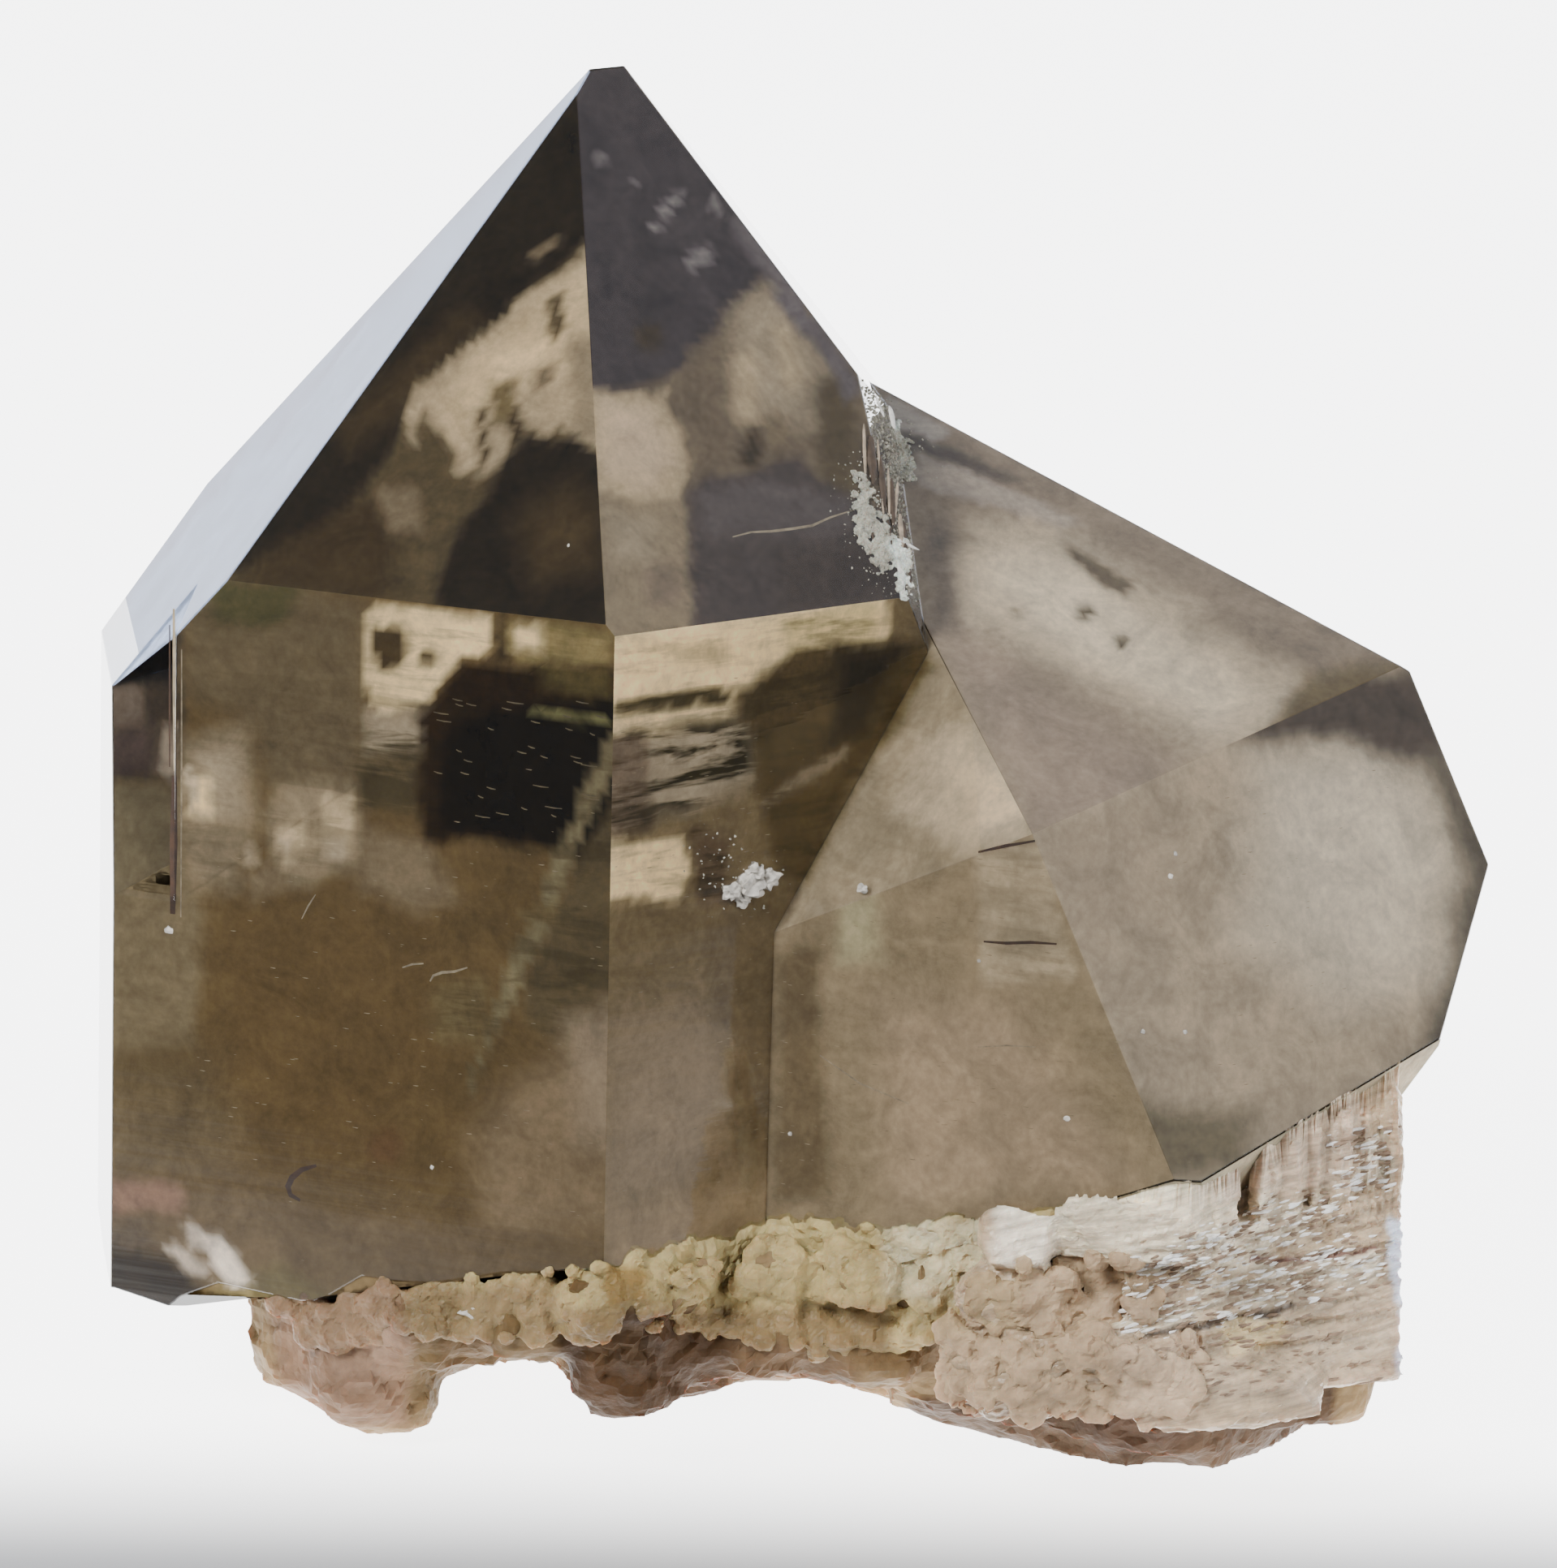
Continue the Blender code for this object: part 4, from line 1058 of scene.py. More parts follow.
dark_marks = [
    (LEFT_UPRIGHT, [(390, 1436), (372, 1441), (360, 1451), (355, 1462), (358, 1472), (370, 1479)], 8.0),
    # the next two are painted shadow in the slot and beside it
    (LEFT_UPRIGHT, [(215, 956), (214, 1040), (213, 1126)], 11.0),
    (LEFT_UPRIGHT, [(209, 770), (209, 860), (209, 945)], 2.5),
    (LEANING_LEFT, [(1212, 1160), (1240, 1162), (1270, 1161), (1302, 1163)], 4.0),
    (LEANING_LEFT, [(1205, 1050), (1240, 1042), (1275, 1036)], 4.0),
]
ribbons("dark_marks", dark_marks, (0.045, 0.018, 0.006))

# %% [markdown]
# Specks repeat by the hundred: fine pale flecks in the stone, and powdery crumbs of crushed quartz
# where the leaning crystal broke out of the tall one. Geometry Nodes scatter both. One tree takes the
# chip to repeat, how many of them a square metre holds, their sizes and their turn, and a soft patch
# on the face says where they may lie.

# %% Scatter tree
CHIP_INPUTS = (
    ("Chip", "NodeSocketObject"), ("Density", "NodeSocketFloat"), ("Smallest", "NodeSocketFloat"),
    ("Largest", "NodeSocketFloat"), ("Turn", "NodeSocketVector"), ("Tumble", "NodeSocketFloat"),
    ("Seed", "NodeSocketInt"), ("Finish", "NodeSocketMaterial"),
)
HALF_TURN = math.pi

chips_tree = bpy.data.node_groups.new("scatter chips", "GeometryNodeTree")
for name, kind in (("Geometry", "NodeSocketGeometry"),) + CHIP_INPUTS:
    chips_tree.interface.new_socket(name, in_out="INPUT", socket_type=kind)
chips_tree.interface.new_socket("Geometry", in_out="OUTPUT", socket_type="NodeSocketGeometry")
given = node_in(chips_tree, "NodeGroupInput").outputs
seed = given["Seed"]
cover = node_in(chips_tree, "GeometryNodeInputNamedAttribute", {"Name": "cover"}, data_type="FLOAT")
here = maths(chips_tree, "MULTIPLY", given["Density"], cover.outputs[0])
sockets = {"Mesh": given["Geometry"], "Density": here, "Seed": seed}
points = node_in(chips_tree, "GeometryNodeDistributePointsOnFaces", sockets).outputs["Points"]
chip = node_in(chips_tree, "GeometryNodeObjectInfo", {"Object": given["Chip"]}).outputs["Geometry"]
sockets = {2: given["Smallest"], 3: given["Largest"], "Seed": seed}
size = node_in(chips_tree, "FunctionNodeRandomValue", sockets, data_type="FLOAT").outputs[1]
sockets = {0: (-HALF_TURN,) * 3, 1: (HALF_TURN,) * 3, "Seed": seed}
spin = node_in(chips_tree, "FunctionNodeRandomValue", sockets, data_type="FLOAT_VECTOR").outputs[0]
tumbled = scaled(chips_tree, spin, given["Tumble"])
turned = node_in(chips_tree, "ShaderNodeVectorMath", {0: given["Turn"], 1: tumbled}, operation="ADD")
rotation = node_in(chips_tree, "FunctionNodeEulerToRotation", {0: turned.outputs[0]}).outputs[0]
sockets = {"Points": points, "Instance": chip, "Rotation": rotation, "Scale": size}
placed = node_in(chips_tree, "GeometryNodeInstanceOnPoints", sockets).outputs["Instances"]
whole = node_in(chips_tree, "GeometryNodeRealizeInstances", {"Geometry": placed}).outputs["Geometry"]
sockets = {"Geometry": whole, "Material": given["Finish"]}
finished = node_in(chips_tree, "GeometryNodeSetMaterial", sockets).outputs["Geometry"]
node_in(chips_tree, "NodeGroupOutput", {"Geometry": finished})
print("scatter tree has", len(chips_tree.nodes), "nodes")

# %% [markdown]
# A chip is a tiny angular grain. A ball of few faces is uneven enough once each corner has moved by a
# fixed random amount, and cheap enough to repeat by the hundred. The helpers strew it over a soft patch
# of any mesh, or of a quartz face, and keep what the modifier makes as plain mesh.

# %% Chips
def chip_shape(name, stretch, seed):
    """An angular grain of unit size, drawn out along its axes."""
    grain = bmesh.new()
    bmesh.ops.create_icosphere(grain, subdivisions=1, radius=1)
    shape_rng = random.Random(seed)
    for vert in grain.verts:
        vert.co *= shape_rng.uniform(0.7, 1.2)
        vert.co = Vector([part * reach for part, reach in zip(vert.co, stretch)])
    mesh = bpy.data.meshes.new(name)
    grain.to_mesh(mesh)
    grain.free()
    return bpy.data.objects.new(name, mesh)


def after_modifier(bm, kind, set_up):
    """What a modifier makes of a mesh, which is used up by it."""
    mesh = bpy.data.meshes.new("before")
    bm.to_mesh(mesh)
    bm.free()
    holder = bpy.data.objects.new("before", mesh)
    bpy.context.scene.collection.objects.link(holder)
    set_up(holder.modifiers.new("change", kind))
    graph = bpy.context.evaluated_depsgraph_get()
    made = bpy.data.meshes.new_from_object(holder.evaluated_get(graph))
    bpy.data.objects.remove(holder, do_unlink=True)
    after = bmesh.new()
    after.from_mesh(made)
    return after


def strewn(name, bm, patch, turn, shape, density, sizes, tumble, seed, finish):
    """Strews chips over a soft patch of a mesh that is used up by it."""
    cover = bm.verts.layers.float.new("cover")
    for vert in bm.verts:
        vert[cover] = max(soft_inside(seen_at(vert.co), corners, softness) for corners, softness in patch)
    wanted = {
        "Chip": shape, "Density": density, "Smallest": sizes[0], "Largest": sizes[1],
        "Turn": tuple(turn), "Tumble": tumble, "Seed": seed, "Finish": finish,
    }

    def set_up(modifier):
        modifier.node_group = chips_tree
        for item in chips_tree.interface.items_tree:
            if item.in_out == "INPUT" and item.name in wanted:
                modifier[item.identifier] = wanted[item.name]

    bm = after_modifier(bm, "NODES", set_up)
    bmesh.ops.recalc_face_normals(bm, faces=bm.faces)
    return piece_from(name, bm, finish)


def scattered(name, normal, patch, depth, shape, density, sizes, tumble, seed, finish):
    """Strews chips over a soft patch of a quartz face, lying level along it."""
    facing = face_like(normal).normal
    level = facing.cross(Vector((0, 0, 1))).normalized()
    turn = Matrix((level, facing.cross(level), facing)).transposed().to_euler()
    bm = face_grid(normal, depth, SMOKE_SPACING)
    return strewn(name, bm, patch, turn, shape, density, sizes, tumble, seed, finish)


# %% [markdown]
# Fine pale flecks float just under the front faces. They are flat flakes that lie level with the face,
# and the hazy leaning crystal has more of them than the tall one.

# %% Flecks in the stone
fleck = chip_shape("fleck", (1.0, 0.16, 0.06), 3)
fleck_finish = flat_finish("pale flecks", (0.30, 0.23, 0.13), 0.7)
FLECK_DEPTH = 0.055 * MM
SMALLEST_FLECK = 0.03 * MM
for name, normal, outline, softness, density, largest, seed in (
    ("left_flecks", LEFT_UPRIGHT, [(240, 1100), (750, 960), (750, 1500), (300, 1500)], 60, 0.9e6, 0.12, 5),
    ("right_flecks", RIGHT_UPRIGHT, [(757, 880), (1000, 850), (960, 1480), (757, 1540)], 40, 1.2e6, 0.11, 6),
    ("leaning_left_flecks", LEANING_LEFT, [(970, 1100), (1270, 1020), (1440, 1440), (960, 1480)], 40,
     1.8e6, 0.12, 7),
    ("leaning_right_flecks", LEANING_RIGHT, [(1280, 1020), (1700, 900), (1720, 1320), (1460, 1440)], 40,
     0.8e6, 0.10, 8),
):
    patch, sizes = [(outline, softness)], (SMALLEST_FLECK, largest * MM)
    scattered(name, normal, patch, FLECK_DEPTH, fleck, density, sizes, 0.02, seed, fleck_finish)

# %% [markdown]
# The matrix broke like glass: angular chips, each a small flat that leans its own way. A copy of the
# solid is remeshed evenly, then every point is pushed by the flat of the chip it belongs to. Chips
# come in two sizes, and a little noise roughens them. Points right under the crystals rise to touch
# them, because the crystals grew on the matrix with no gap.

# %% Broken surfaces
CONTACT = 0.06 * MM
REACH_UP = 0.75 * MM
FOOT_HELD = 0.4 * MM


def evened(bm, spacing):
    """The closed shapes as one even mesh of small squares. What overlaps melts together."""
    def set_up(modifier):
        modifier.mode = "VOXEL"
        modifier.voxel_size = spacing
        modifier.use_smooth_shade = False

    return after_modifier(bm, "REMESH", set_up)


def chip_push(point, size):
    """How far the chip's flat stands out here, for chips of this size, from -1 to 1 or so."""
    cells = point / size
    seed_point = noise.voronoi(cells)[1][0]
    lean = noise.cell_vector(seed_point * 7.31) * 2 - Vector(EVEN)
    return (cells - seed_point).dot(lean) + 0.5 * (noise.cell(seed_point * 3.7) - 0.5)


def roughen(bm, chips, grain):
    """Pushes each point by its chips. The flat foot keeps its height."""
    bm.normal_update()
    for vert in bm.verts:
        push = sum(depth * chip_push(vert.co, size) for size, depth in chips)
        push += grain[1] * noise.fractal(vert.co / grain[0], 1.0, 2.0, 3)
        share = max(0, min(1, vert.co.z / FOOT_HELD))
        vert.co += vert.normal * push * share


def raised_to_quartz(bm):
    """Lifts what faces the crystals' underside until it touches."""
    bm.normal_update()
    moved = 0
    for vert in bm.verts:
        if vert.normal.z < 0.1:
            continue
        hit, hit_normal, face, gap = quartz_tree.ray_cast(vert.co, Vector((0, 0, 1)), REACH_UP)
        if hit and hit_normal.z < 0:
            vert.co.z = hit.z + CONTACT
            moved += 1
    print(moved, "points raised to the crystals")


# %% [markdown]
# Broken milky quartz is dull, and light goes a little way in before it comes out again. The finish
# mottles the tint that the points carry, in coarse patches and fine grains, and the grains roughen the
# surface too. The crust, the powder and the fluted piece use it with values of their own.

# %% Matrix finish
MILK_DEPTH = 1.2 * MM
GRAIN_RELIEF = 0.2 * MM


def broken_finish(name, roughness, shine, milkiness, grain_strength, patch_scale=420, grain_scale=2600):
    finish, tree, shader = new_finish(name)
    place = stretched_place(tree, EVEN)
    carried = node_in(tree, "ShaderNodeAttribute", attribute_name="tint").outputs["Color"]
    patches = ranged(tree, noise_node(tree, place, patch_scale, 6, 0.62), 0.3, 0.7, 0.70, 1.32)
    grains = noise_node(tree, place, grain_scale, 3)
    speckled = maths(tree, "MULTIPLY", patches, ranged(tree, grains, 0.3, 0.7, 0.86, 1.16))
    relief = {"Height": grains, "Strength": grain_strength, "Distance": GRAIN_RELIEF}
    looks = {
        "Base Color": scaled(tree, carried, speckled), "Specular IOR Level": shine, "Roughness": roughness,
        "Subsurface Weight": milkiness, "Subsurface Scale": MILK_DEPTH,
        "Normal": node_in(tree, "ShaderNodeBump", relief).outputs[0],
    }
    filled(tree, shader, looks)
    return finish


matrix_finish = broken_finish("pale broken quartz", 0.55, 0.10, 0.12, 0.4)
print("matrix finish has", len(matrix_finish.node_tree.nodes), "nodes")

# %% [markdown]
# The matrix runs from a pinkish block on the left over yellowish lumps and a brown lump in the middle
# to paler lumps at the right foot. It is raised to the crystals and evened again, so that the raised
# parts are as smooth as the rest. Its front swells out a little under the crystals' foot, where it
# would otherwise lie in a dark hollow, and its chips are pushed last.

# %% Matrix
MATRIX_SPACING = 0.24 * MM
OVERHANG = 0.9 * MM
FURTHEST_FRONT = -15.0 * MM
FRONT_FROM = -3 * MM
FRONT_FULL = -8 * MM
MATRIX_CHIPS = [(2.6 * MM, 0.20 * MM), (1.0 * MM, 0.10 * MM)]
MATRIX_GRAIN = (0.5 * MM, 0.06 * MM)
MATRIX_TINT = (0.190, 0.128, 0.063)
overhung = [(460, 1560), (1260, 1560), (1260, 1690), (460, 1680)]
matrix_tints = [
    # the pinkish block on the left, and the yellowish lumps beside it
    cloud([(330, 1580), (400, 1570), (500, 1590), (520, 1640), (505, 1760), (350, 1765)], 14,
          (0.150, 0.090, 0.054)),
    cloud([(400, 1640), (480, 1630), (470, 1700), (410, 1710)], 16, (0.190, 0.120, 0.078)),
    cloud([(500, 1580), (750, 1550), (720, 1660), (600, 1740), (505, 1740)], 16, (0.098, 0.062, 0.026)),
    cloud([(540, 1640), (600, 1640), (600, 1700), (540, 1700)], 9, (0.095, 0.056, 0.022)),
    cloud([(610, 1650), (680, 1640), (690, 1690), (620, 1700)], 9, (0.160, 0.108, 0.055)),
    # the brown lump, and the duller stretch right of it
    cloud([(690, 1625), (940, 1600), (930, 1770), (690, 1770)], 14, (0.046, 0.023, 0.009)),
    cloud([(720, 1640), (800, 1630), (790, 1680), (730, 1690)], 12, (0.066, 0.036, 0.015)),
    cloud([(900, 1640), (1060, 1650), (1050, 1750), (900, 1750)], 16, (0.105, 0.063, 0.032)),
    cloud([(930, 1590), (1190, 1600), (1180, 1690), (1060, 1690), (930, 1640)], 14, (0.112, 0.070, 0.032)),
    # the paler lumps at the right foot, and the thin plate under them
    cloud([(1150, 1620), (1480, 1630), (1480, 1745), (1170, 1745)], 12, (0.310, 0.215, 0.135)),
    cloud([(1120, 1720), (1650, 1700), (1640, 1840), (1120, 1810)], 8, (0.056, 0.033, 0.018)),
    cloud([(1330, 1740), (1480, 1735), (1460, 1785), (1350, 1785)], 14, (0.055, 0.031, 0.018)),
]


def swollen(bm):
    """Pushes the front outwards under the crystals' foot, but never past the measured front."""
    for vert in bm.verts:
        forwards = max(0, min(1, (FRONT_FROM - vert.co.y) / (FRONT_FROM - FRONT_FULL)))
        if forwards and vert.co.y > FURTHEST_FRONT:
            push = OVERHANG * forwards * soft_inside(seen_at(vert.co), overhung, 70)
            vert.co.y = max(FURTHEST_FRONT, vert.co.y - push)


matrix_bm = evened(merged_copy("pale_matrix"), MATRIX_SPACING)
raised_to_quartz(matrix_bm)
matrix_bm = evened(matrix_bm, MATRIX_SPACING)
swollen(matrix_bm)
roughen(matrix_bm, MATRIX_CHIPS, MATRIX_GRAIN)
painted(matrix_bm, (MATRIX_TINT, 1.0, 0.0), matrix_tints)
matrix = piece_from("broken_matrix", matrix_bm, matrix_finish)
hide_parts("pale_matrix")

# %% [markdown]
# Along the foot of the front faces the crystals are overgrown by a thin crust of small yellow-green
# crystals. It is a patch of the face, pushed out by its chips inside a soft outline and sunk into the
# stone outside it, so that it has no visible rim of its own.

# %% Foot crust
CRUST_SUNK = 0.10 * MM
CRUST_GRAIN = 0.65 * MM
CRUST_TINT = (0.330, 0.252, 0.112)
crust_outline = [
    (500, 1606), (600, 1598), (700, 1580), (750, 1566), (797, 1564), (824, 1536), (900, 1526), (950, 1506),
    (1000, 1500), (1060, 1512), (1130, 1508), (1214, 1506), (1300, 1490), (1330, 1600), (1200, 1700),
    (500, 1700),
]
crust_tints = [
    cloud([(744, 1560), (800, 1560), (800, 1610), (744, 1610)], 8, (0.240, 0.158, 0.052)),
    cloud([(1090, 1505), (1220, 1500), (1220, 1600), (1090, 1600)], 12, (0.440, 0.370, 0.240)),
    cloud([(850, 1530), (1000, 1500), (1040, 1560), (900, 1600)], 20, (0.370, 0.290, 0.130)),
]
crust_finish = broken_finish("yellow green crust", 0.45, 0.15, 0.2, 0.4)


def crust(name, normal, thickness):
    face = face_like(normal)
    facing = face.normal.copy()
    bm = face_grid(normal, 0, CRUST_GRAIN * 0.22, crust_outline)
    for vert in bm.verts:
        share = soft_inside(bent_spot(vert.co, 16, 10), crust_outline, 10)
        fine = noise.noise(vert.co / CRUST_GRAIN * 2.8)
        bumps = 0.55 + 0.45 * chip_push(vert.co, CRUST_GRAIN) + 0.3 * fine
        vert.co += facing * (share * (thickness * max(0.2, bumps) + CRUST_SUNK) - CRUST_SUNK)
    hidden = [
        part for part in bm.faces
        if all((vert.co - face.verts[0].co).dot(facing) < -0.9 * CRUST_SUNK for vert in part.verts)
    ]
    bmesh.ops.delete(bm, geom=hidden, context="FACES")
    return piece_from(name, painted(bm, (CRUST_TINT, 1.0, 0.0), crust_tints), crust_finish)


crust("left_foot_crust", LEFT_UPRIGHT, 0.20 * MM)
crust("middle_foot_crust", RIGHT_UPRIGHT, 0.32 * MM)
crust("right_foot_crust", LEANING_LEFT, 0.32 * MM)

# %% [markdown]
# Several parts are heaps of small lumps that grew into each other. Each lump is a stretched ball at a
# random spot inside an outline, flattened against the surface it sits on. The balls are then remeshed
# as one surface, and its chips are pushed as on the matrix.

# %% Lumps
LUMP_EDGE = 10


def lumps_in(outline, plane_of, count, sizes, flatness, seed):
    """Balls at random spots inside the outline, each on the surface that plane_of gives for its spot."""
    rng = random.Random(seed)
    lefts, tops = [x for x, y in outline], [y for x, y in outline]
    bm = bmesh.new()
    placed = 0
    while placed < count:
        spot = (rng.uniform(min(lefts), max(lefts)), rng.uniform(min(tops), max(tops)))
        if rng.random() > soft_inside(spot, outline, LUMP_EDGE):
            continue
        point, facing = plane_of(spot)
        half = rng.uniform(*sizes)
        ball = bmesh.ops.create_icosphere(bm, subdivisions=2, radius=half)["verts"]
        stretch = Vector((rng.uniform(0.8, 1.4), rng.uniform(0.8, 1.2), rng.uniform(0.8, 1.2)))
        for vert in ball:
            across = vert.co * stretch
            vert.co = point + across - facing * across.dot(facing) * (1 - flatness)
        placed += 1
    return bm


def lump_piece(name, bm, spacing, chips, grain, base, tints, finish):
    bm = evened(bm, spacing)
    roughen(bm, chips, grain)
    return piece_from(name, painted(bm, (base, 1.0, 0.0), tints), finish)


def on_face(spot, normal):
    """The point of a quartz face's plane that shows at this spot, and the way the face looks."""
    face = face_like(normal)
    return on_plane(spot, face.verts[0].co, face.normal), face.normal


# %% [markdown]
# A lump may also sit on a finished surface. A ray from the camera's place says where that surface hides
# a point, so no lump floats in front of it or is buried in it.

# %% Surfaces to sit on
def tree_of(obj):
    points = [vert.co.copy() for vert in obj.data.vertices]
    return BVHTree.FromPolygons(points, [tuple(face.vertices) for face in obj.data.polygons])


def seen_on(surface, point):
    """Where the surface hides this point from the camera, if it does."""
    return surface.ray_cast(EYE, (point - EYE).normalized(), (point - EYE).length)[0]


matrix_tree = tree_of(matrix)
print("the brown lump shows its front at", seen_on(matrix_tree, mm(-2, 0, 2)))

# %% [markdown]
# The crust does not end at the crystals' lower edge. It hangs over it, down to the matrix. A bed of
# bigger lumps fills the hollow behind, and a layer of smaller ones covers it.

# %% Hanging crust
BED_DEPTH = 0.36 * MM
RIDGE_COLUMN = 750
JOIN_COLUMN = 955
bed_outline = [
    (330, 1588), (500, 1590), (600, 1582), (700, 1574), (760, 1562), (830, 1550), (900, 1542), (960, 1530),
    (1060, 1524), (1130, 1520), (1220, 1516), (1240, 1600), (1170, 1654), (1060, 1664), (930, 1650),
    (830, 1644), (700, 1652), (600, 1650), (500, 1646), (340, 1650),
]
hanging_outline = [
    (400, 1596), (500, 1590), (600, 1580), (700, 1568), (760, 1556), (830, 1544), (900, 1534), (960, 1520),
    (1060, 1518), (1130, 1514), (1220, 1512), (1240, 1590), (1176, 1654), (1060, 1668), (930, 1650),
    (830, 1644), (700, 1652), (600, 1650), (510, 1642), (400, 1630),
]
hanging_tints = [
    cloud([(300, 1560), (510, 1570), (510, 1680), (300, 1680)], 14, (0.165, 0.104, 0.058)),
    cloud([(500, 1580), (690, 1570), (690, 1670), (500, 1670)], 20, (0.170, 0.118, 0.056)),
    cloud([(744, 1560), (800, 1560), (800, 1610), (744, 1610)], 8, (0.200, 0.130, 0.045)),
    cloud([(690, 1610), (1100, 1610), (1100, 1690), (690, 1690)], 14, (0.190, 0.130, 0.060)),
    cloud([(1090, 1505), (1240, 1500), (1220, 1600), (1090, 1600)], 12, (0.440, 0.370, 0.220)),
]


def crust_front(spot):
    """The crystals' foot plane, or the matrix where it stands in front of that."""
    right_of_ridge = RIGHT_UPRIGHT if spot[0] < JOIN_COLUMN else LEANING_LEFT
    foot = LEFT_UPRIGHT if spot[0] < RIDGE_COLUMN else right_of_ridge
    point, facing = on_face(spot, foot)
    return seen_on(matrix_tree, point) or point, facing


def bed_plane(spot):
    """A little behind the crust's front, for the bigger lumps that fill it."""
    point, facing = crust_front(spot)
    return point - facing * BED_DEPTH, facing


hanging = lumps_in(bed_outline, bed_plane, 170, (0.40 * MM, 0.72 * MM), 0.75, 50)
added(hanging, lumps_in(hanging_outline, crust_front, 420, (0.12 * MM, 0.36 * MM), 0.8, 51))
lump_piece("hanging_crust", hanging, 0.1 * MM, [(0.5 * MM, 0.06 * MM)], (0.25 * MM, 0.035 * MM), CRUST_TINT,
           hanging_tints, crust_finish)

# %% [markdown]
# Where the leaning crystal broke out of the tall one, the edge is crushed to white powder with dark hollows
# between. The narrow break face gets a mottled sheet, whose dark patches are painted shade for the hollows,
# and two heaps of powder lie beside it.

# %% Crushed edge
edge_clouds = [
    cloud([(1030, 440), (1100, 440), (1112, 530), (1090, 548), (1040, 545)], 8, (0.260, 0.232, 0.175), 0.97,
          0.3),
    cloud([(1056, 540), (1092, 540), (1100, 600), (1108, 660), (1085, 640), (1062, 600)], 6,
          (0.060, 0.040, 0.024), 0.985, 0.3),
    cloud([(1092, 545), (1110, 560), (1118, 600), (1104, 600)], 5, (0.300, 0.270, 0.230), 0.97),
    cloud([(1100, 600), (1122, 600), (1130, 690), (1112, 680)], 6, (0.130, 0.095, 0.062), 0.98, 0.3),
    cloud([(1108, 690), (1128, 670), (1140, 740), (1120, 745)], 6, (0.270, 0.245, 0.195), 0.97),
    cloud([(1110, 745), (1150, 740), (1160, 810), (1110, 810)], 6, (0.085, 0.060, 0.034), 0.98, 0.4),
]
haze_sheet("crushed_edge_haze", CORNER_BREAK, ((0.200, 0.170, 0.130), 0.97, 0.3), edge_clouds)
powder = broken_finish("white powder", 0.8, 0.05, 0.2, 0.9, patch_scale=2200, grain_scale=9000)
POWDER_TINT = (0.370, 0.335, 0.272)
powder_tints = [
    cloud([(1095, 660), (1116, 655), (1130, 735), (1112, 742)], 6, (0.660, 0.640, 0.560)),
    cloud([(1060, 500), (1080, 500), (1078, 540), (1062, 540)], 6, (0.300, 0.270, 0.225)),
    cloud([(1098, 500), (1112, 505), (1122, 530), (1104, 528)], 5, (0.640, 0.620, 0.540)),
]
left_powder = [
    (1052, 582), (1064, 580), (1070, 610), (1082, 640), (1098, 652), (1112, 672), (1122, 700), (1124, 736),
    (1116, 738), (1106, 700), (1096, 694), (1086, 706), (1078, 684), (1062, 668), (1052, 640),
]
top_powder = [
    (1060, 482), (1070, 480), (1084, 500), (1100, 514), (1112, 540), (1124, 566), (1128, 590), (1118, 592),
    (1108, 568), (1092, 562), (1082, 540), (1066, 516),
]
for name, outline, normal, seed in (
    ("left_powder", left_powder, RIGHT_PYRAMID, 52), ("top_powder", top_powder, LEANING_TOP, 53),
):
    heap = lumps_in(outline, lambda spot: on_face(spot, normal), 340, (0.04 * MM, 0.15 * MM), 0.45, seed)
    lump_piece(name, heap, 0.035 * MM, [(0.14 * MM, 0.03 * MM)], (0.1 * MM, 0.02 * MM), POWDER_TINT,
               powder_tints, powder)

# %% [markdown]
# Loose crumbs of the same powder are strewn over the break face, over the margins beside it and into
# the corner between the two crystals.

# %% Crumbs
CRUMB_SUNK = -0.01 * MM
SMALLEST_CRUMB = 0.01 * MM
crumb = chip_shape("crumb", (1.0, 0.8, 0.55), 9)
crumb_finish = flat_finish("powder crumbs", (0.36, 0.34, 0.27), 0.8)
edge_patch = [(1050, 470), (1100, 480), (1110, 600), (1140, 740), (1110, 740)]
left_margin = [(1040, 570), (1070, 560), (1110, 640), (1140, 740), (1112, 760), (1070, 720), (1040, 650)]
top_margin = [(1060, 470), (1110, 490), (1150, 560), (1150, 600), (1110, 590), (1080, 540)]
join_patch = [(850, 1020), (905, 1040), (965, 1070), (960, 1112), (890, 1110), (862, 1080)]
for name, normal, outline, softness, density, sizes, seed in (
    ("edge_crumbs", CORNER_BREAK, edge_patch, 8, 3.0e7, (0.015 * MM, 0.07 * MM), 11),
    ("pyramid_crumbs", RIGHT_PYRAMID, left_margin, 14, 3.0e7, (SMALLEST_CRUMB, 0.05 * MM), 12),
    ("top_crumbs", LEANING_TOP, top_margin, 14, 2.0e7, (SMALLEST_CRUMB, 0.05 * MM), 13),
    ("join_crumbs", RIGHT_UPRIGHT, join_patch, 9, 1.6e7, (SMALLEST_CRUMB, 0.06 * MM), 14),
):
    patch = [(outline, softness)]
    scattered(name, normal, patch, CRUMB_SUNK, crumb, density, sizes, 1.0, seed, crumb_finish)

# %% [markdown]
# In the middle of the crushed edge stand upright splinters, with dark needles between them as painted shade
# for the gaps. Each is a thin needle along a line that is given as it shows.

